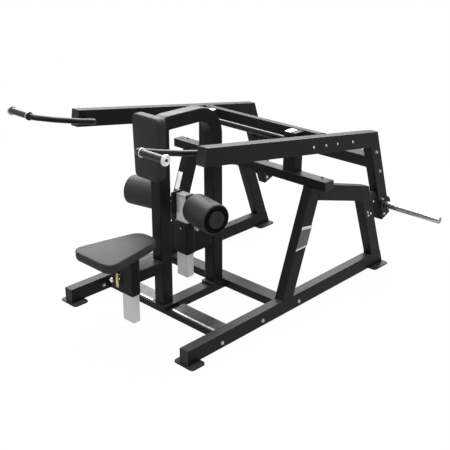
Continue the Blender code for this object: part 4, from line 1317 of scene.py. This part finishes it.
@dataclass
class Base(Assembly):
    """Rails, feet, cross beams and tread plates on the floor."""

    coats: ClassVar = ((COAT, *both("base_rail", "front_foot", "rear_foot"), "front_cross_beam",
                        "rear_cross_beam", "centre_beam"),)
    rail_x: Pair = (0.529, 0.600)
    rail_bolts: Sequence[Pair] = ((0.290, 0.048), (0.668, 0.051), (1.038, 0.051))
    inner_bolt: Pair = (0.274, 0.053)
    flats: float = 0.0165
    tread_x: Pair = (0.086, 0.500)
    tread_y: Pair = (0.3425, 0.4580)
    tread_z: Pair = (0.0573, 0.0653)
    lip: float = 0.012
    gap: float = 0.0006

    def treads(self) -> None:
        """Tread plates: a flat plate with dressed ends and a bright half-round strip at its front."""
        (front, back), (low, high), (start, stop) = self.tread_y, self.tread_z, self.tread_x
        lip, long = front + self.lip, stop - start
        split, top = lip + self.gap, high - self.gap
        plate = rounded_polygon(((split, low), (back, low), (back, top), (split, top)),
                                (0.0006, 0.001, 0.0018, 0.0006), 6, 2)
        strip = rounded_polygon(((front, low), (lip, low), (lip, high), (front, high)),
                                (0.001, 0.001, 0.0016, 0.004), 8, 2)
        levels = [(0.0008, 0.0), (0.0002, 0.0003), (0.0, 0.001), (0.0, long - 0.001),
                  (0.0002, long - 0.0003), (0.0008, long)]
        for word, side in SIDES:
            piece(f"{word}_tread", sideways(plate, levels, start, side), TREAD, Body.FRAME,
                  (f"{word}_tread_plate",))
            piece(f"{word}_tread_lip", sideways(strip, levels, start, side), LIP_STEEL, Body.FRAME)

    def hardware(self) -> None:
        """Bolts of the rails, plugs and weld beads."""
        inner, outer = self.rail_x
        heads = [hex_bolt(spot(side * outer, y, z), (side, 0, 0), self.flats)
                 for side in (1, -1) for y, z in self.rail_bolts]
        heads += [hex_bolt(spot(side * inner, *self.inner_bolt), (-side, 0, 0), self.flats)
                  for side in (-1, 1)]
        piece("rail_bolts", heads, PLATING, Body.FRAME)
        for word, _ in SIDES:
            plug(f"{word}_rail_plug", f"{word}_base_rail", (0, -1, 0), Body.FRAME)
        for node, facing in (("centre_beam", (0, -1, 0)), ("centre_beam", (0, 1, 0)),
                             ("front_cross_beam", (1, 0, 0)), ("front_cross_beam", (-1, 0, 0)),
                             ("rear_cross_beam", (1, 0, 0)), ("rear_cross_beam", (-1, 0, 0))):
            end = "".join("nzp"[c + 1] for c in facing)
            bead(f"{node}_weld_{end}", node, facing, Body.FRAME, 0.0024)

    def build(self) -> None:
        """Makes the base."""
        self.dress()
        self.treads()
        self.hardware()


@dataclass
class SideFrames(Assembly):
    """Legs, sloping top beams, the upper cross beam, pivot posts, stops and plates."""

    coats: ClassVar = ((COAT, *both("front_leg", "top_beam", "rear_leg", "pivot_post", "bumper_bracket"),
                        "upper_cross_beam"), (SHAFT_COAT, "pivot_shaft"))
    leg_face: float = 0.600
    placard: Sequence[Pair] = ((0.979, 0.435), (1.095, 0.435), (1.146, 0.577), (1.041, 0.594))
    left_plate: Sequence[Pair] = ((-0.0255, 0.472), (0.0195, 0.472), (0.0195, 0.606), (-0.0255, 0.606))
    beam_screw: Triple = (0.623, 1.193, 0.900)
    post_top: Triple = (0.345, 1.128, 1.168)
    post_size: Pair = (0.097, 0.086)
    leg_bolts: Sequence[Pair] = ((1.795, 0.481), (1.836, 0.458), (1.807, 0.451), (1.858, 0.546))

    def placards(self) -> None:
        """A bare grey placard with pale ends on each front leg's outer face."""
        left_low, right_low, right_high, left_high = np.array(self.placard)
        for word, side in SIDES:
            for end, finish, (start, stop), heights in (
                    ("", GREY_FOIL, (0, 1), (0.0001, 0.0007)),
                    ("_lower", PALE_FOIL, (0.015, 0.09), (0.0008, 0.0011)),
                    ("_upper", PALE_FOIL, (0.86, 0.985), (0.0008, 0.0011))):
                corners = [low + (high - low) * share for low, high, share in (
                    (left_low, left_high, start), (right_low, right_high, start),
                    (right_low, right_high, stop), (left_low, left_high, stop))]
                shell = sideways(rounded_polygon(corners, 0.004, 6, 3), bevelled(*heights, 0.0003, 0.0002),
                                 self.leg_face, side)
                piece(f"{word}_placard{end}", shell, finish, Body.FRAME)

    def front_plate(self) -> None:
        """The left leg's bare pale plate, on the sloping face that looks along -Y."""
        points = coords_of(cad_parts["left_front_leg"].data)
        middle, height = points[:, 0].mean(), points[:, 2]
        low, high = (points[np.abs(height - z) < 0.001] for z in (height.min(), height.max()))
        start, stop = (np.array([middle, end[:, 1].min(), end[:, 2].mean()]) for end in (low, high))
        run = unit(stop - start)
        outline = rounded_polygon(self.left_plate, 0.004, 6, 3)
        levels = bevelled(0.0001, 0.0007, 0.0003, 0.0002)
        piece("left_leg_plate", slab(outline, levels, start, (0, -run[2], run[1])), PALE_FOIL, Body.FRAME)

    def stops(self) -> None:
        """Rubber stops: turned buffers with a waist, along the CAD bumpers' odd direction."""
        for word, _ in SIDES:
            points = coords_of(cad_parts[f"{word}_bumper"].data)
            middle = points.mean(0)
            spread = np.linalg.svd(points - middle, full_matrices=False)[2]
            reach = np.ptp((points - middle) @ spread.T, axis=0)
            axis = spread[np.argmax(np.abs(1.5 * reach - reach.sum() / 2))]
            axis = axis * math.copysign(1, axis[1] + axis[2])
            along = (points - middle) @ axis
            long = np.ptp(along)
            radius = np.linalg.norm(points - middle - np.outer(along, axis), axis=1).max()
            waist = [(s, 1 - 0.10 * math.sin(math.pi * s)) for s in np.linspace(0.06, 0.94, 12)]
            shares = [(0.0, 0.93), (0.02, 0.98), *waist, (0.98, 0.97), (1, 0.9), (1, 0.3), (0.93, 0.26)]
            profile = [(s * long, r * radius) for s, r in shares]
            piece(f"{word}_stop", turned(profile, middle + axis * along.min(), axis, 36), STOP_RUBBER,
                  Body.FRAME, (f"{word}_bumper",))

    def hardware(self) -> None:
        """Weld beads at the legs' joints, bolts and plugs, shims and pads on the pivot posts."""
        for word, side in SIDES:
            for name, node, facing in (("front_leg_weld", "front_leg", (0, 0, -1)),
                                       ("rear_leg_weld", "rear_leg", (0, 0, -1)),
                                       ("front_leg_top_weld", "front_leg", UP),
                                       ("pivot_post_weld", "pivot_post", (0, 0, -1))):
                bead(f"{word}_{name}", f"{word}_{node}", facing, Body.FRAME)
            plug(f"{word}_beam_plug", "upper_cross_beam", (side, 0, 0), Body.FRAME)
            x, y, z = self.beam_screw
            piece(f"{word}_beam_screw", socket_screw(spot(side * x, y, z), UP, 0.009), CAP_PLASTIC,
                  Body.FRAME)
            bolts = [hex_bolt(spot(side * self.leg_face, y, z), (side, 0, 0), 0.011)
                     for y, z in self.leg_bolts]
            piece(f"{word}_leg_bolts", bolts, ZINC, Body.FRAME)
            (x, y, z), (wide, deep) = self.post_top, self.post_size
            front, back = y + 0.004, y + deep - 0.004
            for name, finish, low, high in (("shim", CAP_ALLOY, x + 0.004, x + 0.050),
                                            ("pad", STOP_RUBBER, x + 0.052, x + wide - 0.002)):
                corners = ((low, front), (high, front), (high, back), (low, back))
                outline = rounded_polygon(corners, 0.003, 4, 3) * [side, 1] - [0, CENTRE_Y]
                shell = slab(outline[::int(side)], bevelled(0.0002, 0.002, 0.0004, 0.0004), (0, 0, z))
                piece(f"{word}_post_{name}", shell, finish, Body.FRAME)

    def build(self) -> None:
        """Makes the side frames."""
        self.dress()
        self.placards()
        self.front_plate()
        self.stops()
        self.hardware()


@dataclass
class Lever(Assembly):
    """Arms, their legs, bridges, handles, grips and weight horns."""

    coats: ClassVar = ((COAT, *both("arm", "arm_leg", "hub_plate"), "front_bridge_tube",
                        "rear_bridge_tube"),)
    arm_x: Pair = (0.5337, 0.605)
    arm_bolts: Sequence[Pair] = ((1.113, 1.117), (1.242, 1.102), (1.368, 1.085), (1.541, 1.059))
    leg_bolts: Sequence[Triple] = ((1.840, 0.922, 0.0155), (1.905, 0.766, 0.0155), (1.973, 0.531, 0.022),
                                   (2.006, 0.414, 0.016))
    low_nut: float = 0.017
    handle_x: float = 0.465
    handle_r: float = 0.018
    handle_yz: Sequence[Pair] = ((0.232, 1.250), (0.109, 1.276), (-0.070, 1.321), (-0.225, 1.366))
    handle_bends: tuple[float, float, float, float] = (0.030, 0.45, 0.45, 0.030)
    grip_x: Pair = (0.512, 0.682)
    grip_r: float = 0.0205
    collar_r: float = 0.026
    cap_r: float = 0.0305
    horn_x: Pair = (0.6176, 1.0620)
    horn_r: float = 0.025
    horn_yz: Pair = (2.003, 0.487)
    flange_r: float = 0.062

    @staticmethod
    def ring_weld(name: str, centre: np.ndarray, radius: float, count: int, ripple: float) -> None:
        """Lays a weld bead round a bar that leaves a face across X.

        Args:
            name: The piece's name.
            centre: The bead's middle.
            radius: Radius to the bead's middle.
            count: Its stations.
            ripple: Share by which its girth rises every third station.
        """
        angle = full_turn(count)
        loop = centre + radius * np.stack([np.zeros(count), np.cos(angle), np.sin(angle)], -1)
        girth = 0.0022 * (1 + ripple * np.abs(np.sin(np.arange(count) * math.pi / 3)))
        piece(name, ring_path(loop, girth, 8, True, (1, 0.001, 0)), BEAD, Body.LEVER)

    def handle(self, word: str, side: float) -> None:
        """A tube bent out of the arm's inner face, forward and out again into the grip.

        Args:
            word: "left" or "right".
            side: -1 or 1.
        """
        points = [spot(side * self.arm_x[0], *self.handle_yz[0])]
        points += [spot(side * self.handle_x, y, z) for y, z in self.handle_yz]
        points.append(spot(side * (self.grip_x[1] + 0.004), *self.handle_yz[-1]))
        shell = ring_path(bent_path(np.array(points), self.handle_bends), self.handle_r, 28)
        piece(f"{word}_handle_bar", shell, HANDLE_COAT, Body.LEVER, (f"{word}_handle",))
        self.ring_weld(f"{word}_handle_weld", points[0] - [side * 0.0006, 0, 0], self.handle_r + 0.0008,
                       80, 0.0)

    def grip(self, word: str, side: float) -> None:
        """A rubber sleeve with a raised diamond pattern, its collar, a bright ring and an end cap.

        The sleeve's radius is R + 1.2 mm * |sin(8a + kx)| * |sin(8a - kx)| between plain ends.

        Args:
            word: "left" or "right".
            side: -1 or 1.
        """
        (y, z), (low, high), axis = self.handle_yz[-1], self.grip_x, (side, 0, 0)
        start = low + 0.0025
        reach = np.linspace(0, high - start, 110)[:, None]
        angle = full_turn(96)
        fade = np.clip(np.minimum(reach - 0.004, reach[-1] - 0.004 - reach) / 0.003, 0, 1)
        wave = np.abs(np.sin(8 * angle + 420 * reach) * np.sin(8 * angle - 420 * reach))
        ends = np.clip(np.minimum(reach, reach[-1] - reach) / 0.0015, 0, 1)
        radius = self.grip_r - 0.0009 + 0.0012 * wave * fade - 0.0015 * (1 - ends) ** 2
        sleeve = turned(list(zip(reach[:, 0], radius)), spot(side * start, y, z), axis, 96)
        piece(f"{word}_grip_sleeve", sleeve, GRIP_RUBBER, Body.LEVER, (f"{word}_grip",), 60)
        bar, big, cap = self.handle_r + 0.001, self.collar_r, self.cap_r
        collar = [(0, bar), (0, big - 0.002), (0.0015, big), (0.0085, big), (0.010, big - 0.0015),
                  (0.010, self.grip_r)]
        ring = [(0.0103, bar), (0.0103, big - 0.0006), (0.0160, big - 0.0006), (0.0160, bar)]
        lid = [(0, cap - 0.004), (0.0, cap - 0.002), (0.002, cap), (0.009, cap), (0.0115, cap - 0.0025),
               (0.0118, 0.0245), (0.0102, 0.0232), (0.0102, 0.0218), (0.0118, 0.0205), (0.0122, 0.0165),
               (0.0110, 0.0152), (0.0110, 0.0142), (0.0120, 0.0132), (0.0120, 0.0108), (0.005, 0.0098)]
        for name, profile, x, count, finish, node in (
                ("grip_collar", collar, low - 0.014, 40, PLUG_PLASTIC, ()),
                ("grip_ring", ring, low - 0.014, 40, CAP_ALLOY, ()),
                ("cap", lid, high + 0.0045, 56, CAP_ALLOY, (f"{word}_grip_cap",))):
            shell = turned(rounded(profile), spot(side * x, y, z), axis, count)
            piece(f"{word}_{name}", shell, finish, Body.LEVER, node)
        piece(f"{word}_cap_screw", socket_screw(spot(side * (high + 0.0096), y, z), axis, 0.0075),
              CAP_PLASTIC, Body.LEVER)

    def horn(self, word: str, side: float) -> None:
        """A chromed bar with a shoulder, rounded end and centre mark, and its stop flange.

        Args:
            word: "left" or "right".
            side: -1 or 1.
        """
        (low, high), r, wide, axis = self.horn_x, self.horn_r, self.flange_r, (side, 0, 0)
        long, origin = high - low, spot(side * low, *self.horn_yz)
        end = [(long - 0.006 * (1 - math.sin(t)), r - 0.006 * (1 - math.cos(t)))
               for t in np.linspace(0, math.pi / 2, 8)]
        bar = [(0, r - 0.0005), (0.0005, r), (long - 0.034, r), (long - 0.033, r - 0.0008),
               (long - 0.031, r - 0.0008), (long - 0.030, r), *end, (long, 0.006), (long - 0.002, 0.0035),
               (long - 0.003, 0.001)]
        mark = [(long - 0.0002, 0.0150), (long + 0.0004, 0.0152), (long + 0.0004, 0.0186),
                (long - 0.0002, 0.0188)]
        disc = [(0, wide - 0.003), (0.0, wide - 0.0015), (0.002, wide), (0.0095, wide),
                (0.0118, wide - 0.0025), (0.0118, r + 0.007), (0.0105, r + 0.002)]
        piece(f"{word}_horn_mark", turned(rounded(mark), origin, axis, 48), CAP_PLASTIC, Body.LEVER)
        piece(f"{word}_horn", turned(bar, origin, axis, 48), BAR_CHROME, Body.LEVER,
              (f"{word}_weight_horn",))
        flange_at = spot(side * (self.arm_x[1] + 0.0003), *self.horn_yz)
        piece(f"{word}_flange", turned(rounded(disc), flange_at, axis, 56), COAT, Body.LEVER,
              (f"{word}_horn_flange",))
        self.ring_weld(f"{word}_horn_weld", spot(side * (low + 0.0006), *self.horn_yz), r + 0.0012, 90, 0.15)

    def hardware(self) -> None:
        """Bolts of the arms, plugs at their front ends and weld beads."""
        inner, outer = self.arm_x
        for word, side in SIDES:
            heads = [socket_screw(spot(side * outer, y, z), (side, 0, 0), 0.0085)
                     for y, z in self.arm_bolts]
            heads += [hex_bolt(spot(side * outer, y, z), (side, 0, 0), flats)
                      for y, z, flats in self.leg_bolts]
            y, z, _ = self.leg_bolts[-1]
            heads.append(hex_bolt(spot(side * inner, y, z), (-side, 0, 0), self.low_nut))
            piece(f"{word}_arm_bolts", heads, PLATING, Body.LEVER)
            plug(f"{word}_arm_plug", f"{word}_arm", (0, -1, 0.1516), Body.LEVER)
        for side, end in ((-1, "n"), (1, "p")):
            for place in ("front", "rear"):
                bead(f"{place}_bridge_weld_{end}", f"{place}_bridge_tube", (side, 0, 0), Body.LEVER)

    def build(self) -> None:
        """Makes the lever."""
        self.dress()
        for word, side in SIDES:
            self.handle(word, side)
            self.grip(word, side)
            self.horn(word, side)
        self.hardware()


@dataclass
class Column(Assembly):
    """Front post, arch, sleeves, seat arm and chest pad."""

    coats: ClassVar = ((COAT, "lower_front_post", "arch_tube", "seat_arm_beam", "seat_sleeve",
                        "roller_sleeve", "roller_sleeve_beam"),)
    pad_corners: Sequence[Pair] = ((-0.106, 0.972), (0.106, 0.972), (0.1215, 1.373), (-0.1215, 1.373))
    pad_radius: float = 0.034
    pad_back: float = 0.3082
    pad_thick: float = 0.073
    board: float = 0.010
    sleeve_screw: Triple = (0, 0.522, 0.562)

    def pad(self) -> None:
        """The chest pad: a boxed cushion on a thin board."""
        outline = rounded_polygon(self.pad_corners, self.pad_radius, 12, 6)
        levels = [(0.006, 0.0004), (0.0055, 0.001), (0.0055, self.board - 0.0004), (0.0065, self.board)]
        piece("pad_board", slab(outline, levels, spot(0, self.pad_back, 0), (0, -1, 0)), PLUG_PLASTIC,
              Body.FRAME)
        Upholstered("pad_cushion", self.pad_corners, self.pad_radius, self.pad_thick - self.board - 0.003,
                    spot(0, self.pad_back - self.board, 0), (0, -1, 0), PAD_HIDE, Body.FRAME,
                    crown=0.003, edge=0.012, stands_for=("chest_pad",)).build()

    def build(self) -> None:
        """Makes the column, its weld beads and the sleeve's small screw."""
        self.dress()
        self.pad()
        bead("post_weld", "lower_front_post", UP, Body.FRAME, 0.0024)
        for place, way in (("front", -1), ("rear", 1)):
            bead(f"seat_arm_weld_{place}", "seat_arm_beam", (0, way, 0), Body.FRAME, 0.0024)
            bead(f"roller_beam_weld_{place}", "roller_sleeve_beam", (0, way, 0), Body.FRAME, 0.0024)
        piece("sleeve_screw", socket_screw(spot(*self.sleeve_screw), (0, -1, 0), 0.006), PLATING,
              Body.FRAME)


@dataclass
class Seat(Assembly):
    """Sliding seat: cushion on its board, silver post, and the spring plunger that locks it."""

    coats: ClassVar = ((SEAT_SILVER, "seat_post"), (PLATING, "seat_pin"))
    corners: Sequence[Pair] = ((-0.192, -0.2265), (0.192, -0.2265), (0.0935, 0.2515), (-0.0935, 0.2515))
    radii: tuple[float, float, float, float] = (0.064, 0.064, 0.089, 0.089)
    base_z: float = 0.5378
    thick: float = 0.0622
    board: float = 0.009
    pull_xy: Pair = (-0.062, 0.0238)
    pull_z: Pair = (0.290, 0.386)
    pull_r: float = 0.0085
    nut_at: Triple = (-0.136, 0.0429, 0.312)
    nut_r: float = 0.0150

    def cushion(self) -> None:
        """The seat cushion and the board under it."""
        outline = rounded_polygon(self.corners, self.radii, 12, 8)
        levels = [(0.010, 0.0), (0.0085, 0.001), (0.0085, self.board - 0.0005), (0.0095, self.board)]
        piece("seat_board", slab(outline, levels, spot(0, 0, self.base_z)), PLUG_PLASTIC, Body.SEAT)
        Upholstered("seat_pad", self.corners, self.radii, self.thick - self.board - 0.002,
                    spot(0, 0, self.base_z + self.board), UP, SEAT_HIDE, Body.SEAT,
                    crown=0.002, edge=0.006, stands_for=("seat_cushion",)).build()

    def plunger(self) -> None:
        """The yellow pull, an upright bowed bar with rounded ends, and the plunger's guide nut.

        The pull's middle stands 4 mm forward of its ends; its radius is R * (1 - |share|^5)^(1/3).
        """
        share = np.linspace(-0.998, 0.998, 40)
        (x, y), (low, high) = self.pull_xy, self.pull_z
        path = np.stack([np.full_like(share, x), y - CENTRE_Y + 0.004 * share ** 2,
                         (low + high) / 2 + share * (high - low) / 2], -1)
        radius = self.pull_r * (1 - np.abs(share) ** 5) ** (1 / 3)
        piece("pull_handle", ring_path(path, radius, 24, hint=(1, 0.01, 0)), YELLOW, Body.SEAT_PIN,
              ("seat_pin_handle",))
        at, axis, big = spot(*self.nut_at), (0, -1, 0), self.nut_r
        nut = [(0, 0.0052), (0, big), (0.002, big + 0.0012), (0.004, big), (0.009, big),
               (0.0104, big - 0.0015), (0.0104, 0.0062), (0.0085, 0.0052)]
        piece("guide_nut", turned(rounded(nut), at, axis, 40), ZINC, Body.FRAME)
        hole = [(0.001, 0.0049), (0.0060, 0.0049), (0.0064, 0.0044)]
        piece("guide_nut_hole", turned(hole, at, axis, 24), CAP_PLASTIC, Body.FRAME)

    def build(self) -> None:
        """Makes the seat."""
        self.dress()
        self.cushion()
        self.plunger()


@dataclass
class Rollers(Assembly):
    """Sliding post, arms and the two leaning leg rollers, with the plunger that locks them."""

    coats: ClassVar = ((SILVER, "roller_post"), (COAT, *both("roller_arm")), (PLATING, "roller_pin"))
    lean: float = math.radians(12.0)
    meet: Pair = (0.5325, 0.757)
    reach: Pair = (0.1636, 0.4020)
    radius: float = 0.099
    soft: float = 0.011
    disc_r: float = 0.056
    seam_angle: float = 3.9
    guide_at: Triple = (0.0578, 0.560, 0.583)
    lid_y: float = 0.560
    lid_half: Pair = (0.0535, 0.0335)
    lid_z: float = 0.790
    rod_xy: Pair = (-0.0640, 0.4940)
    rod_z: Pair = (0.600, 0.783)

    def roll(self, word: str, side: float) -> None:
        """A foam roller in a leather sleeve with closed ends, a seam, plastic end discs, and black end rings
        darkened with painted shade.

        The sleeve's radius is R - 0.7 mm * (2 share - 1)^6 with ends turned in by a quarter
        ellipse; along the seam it sinks by 1.2 mm * exp(-(arc / 2 mm)^2), and faint waves run
        across it near the ends, where the leather is gathered.

        Args:
            word: "left" or "right".
            side: -1 or 1.
        """
        body = Body.LEFT_ROLLER if side < 0 else Body.RIGHT_ROLLER
        axis = np.array([side * math.cos(self.lean), -math.sin(self.lean), 0])
        start = spot(0, *self.meet) + self.reach[0] * axis
        long, big, soft = self.reach[1] - self.reach[0], self.radius, self.soft
        rise = [(soft * (1 - math.cos(t)), big - soft * (1 - math.sin(t)))
                for t in np.linspace(0, math.pi / 2, 9)]
        profile = np.array([(0.004, 0.018), (0.0015, 0.03), (0.0008, 0.070), (0.0002, 0.080), *rise,
                            *((x, big) for x in np.linspace(soft, long - soft, 60)[1:-1]),
                            *((long - x, r) for x, r in rise[::-1]), (long - 0.0002, 0.080),
                            (long - 0.002, 0.062), (long - 0.006, 0.058), (long - 0.006, 0.03)])
        reach, radius = profile.T[..., None]
        angle = full_turn(180)
        near_end = np.exp(-(np.minimum(reach, long - reach) / 0.016) ** 2)
        seam = 0.0012 * np.exp(-((angle - self.seam_angle) * big / 0.002) ** 2)
        marks = (seam + 0.0004 * np.sin(34 * angle) * near_end) * (radius > 0.085)
        skin = radius - 0.0007 * (2 * reach / long - 1) ** 6 - marks
        shell = turned(list(zip(reach[:, 0], skin)), start, axis, 180)
        obj = piece(f"{word}_roll", shell, ROLL_HIDE, body, (f"{word}_roller",), 60)
        disc, low, high = self.disc_r, self.disc_r + 0.0006, big - soft + 0.0005
        cap = [(-0.0055, disc), (0.006, disc), (0.0092, disc - 0.004), (0.0100, disc - 0.009),
               (0.0100, 0.020), (0.0085, 0.0185), (0.006, 0.018)]
        ring = [(-0.0010, low), (0.0006, low), (0.0009, low + 0.002), (0.0009, high - 0.002),
                (0.0004, high), (-0.0010, high)]
        # The end ring is black, and its near-black colour also paints the shade on the roller's end.
        for name, shape, count, finish in (("cap", cap, 64, DISC_PLASTIC), ("end", ring, 96, SHADED_END_BLACK)):
            shell = turned([(long + x, r) for x, r in rounded(shape)], start, axis, count)
            piece(f"{word}_roll_{name}", shell, finish, body)

    def guide(self) -> None:
        """The plunger's hexagonal guide on the roller sleeve."""
        at, flats = spot(*self.guide_at), hex_radius(60, 0.024)
        nut = [(0.0, flats * 0.97), (0.0006, flats), (0.009, flats), (0.0096, flats * 0.97),
               (0.0098, flats * 0.8)]
        barrel = rounded([(0.0096, 0.0095), (0.028, 0.0095), (0.030, 0.0085), (0.030, 0.0066)])
        piece("roller_guide", [turned(nut, at, ACROSS, 60), turned(barrel, at, ACROSS, 32)], CAP_PLASTIC,
              Body.FRAME)

    def post_top(self) -> None:
        """The lid on the sliding post, and the thin rod with two nuts beside it."""
        half, deep = self.lid_half
        corners = ((-half, -deep), (half, -deep), (half, deep), (-half, deep))
        levels = [(0.0008, 0.0004), (0.0, 0.0012), (0.0, 0.003), (0.0012, 0.0042)]
        lid = slab(rounded_polygon(corners, 0.012, 8, 4), levels, spot(0, self.lid_y, self.lid_z))
        piece("post_lid", lid, GREY_FOIL, Body.CARRIAGE)
        low, high = self.rod_z
        rod = turned(rounded([(0, 0.0022), (high - low, 0.0022)]), spot(*self.rod_xy, low), UP, 24)
        piece("stop_rod", rod, PLATING, Body.CARRIAGE)
        nut = rounded([(0, 0.0024), (0, 0.0058), (0.010, 0.0058), (0.010, 0.0024)])
        nuts = [turned(nut, spot(*self.rod_xy, z), UP, 32) for z in (low + 0.001, high - 0.011)]
        piece("stop_rod_nuts", nuts, PLATING, Body.CARRIAGE)

    def build(self) -> None:
        """Makes the roller carriage and rollers."""
        self.dress()
        self.guide()
        self.post_top()
        for word, side in SIDES:
            self.roll(word, side)


def main() -> None:
    """Builds the studio and each sub-assembly in order."""
    logging.basicConfig(level=logging.INFO, format="%(name)s: %(message)s")
    bpy.context.scene.view_settings.view_transform = "Standard"
    for part in (Studio(), Base(), SideFrames(), Lever(), Column(), Seat(), Rollers()):
        part.build()
        LOG.info("%s built", type(part).__name__)


if __name__ == "__main__":
    main()
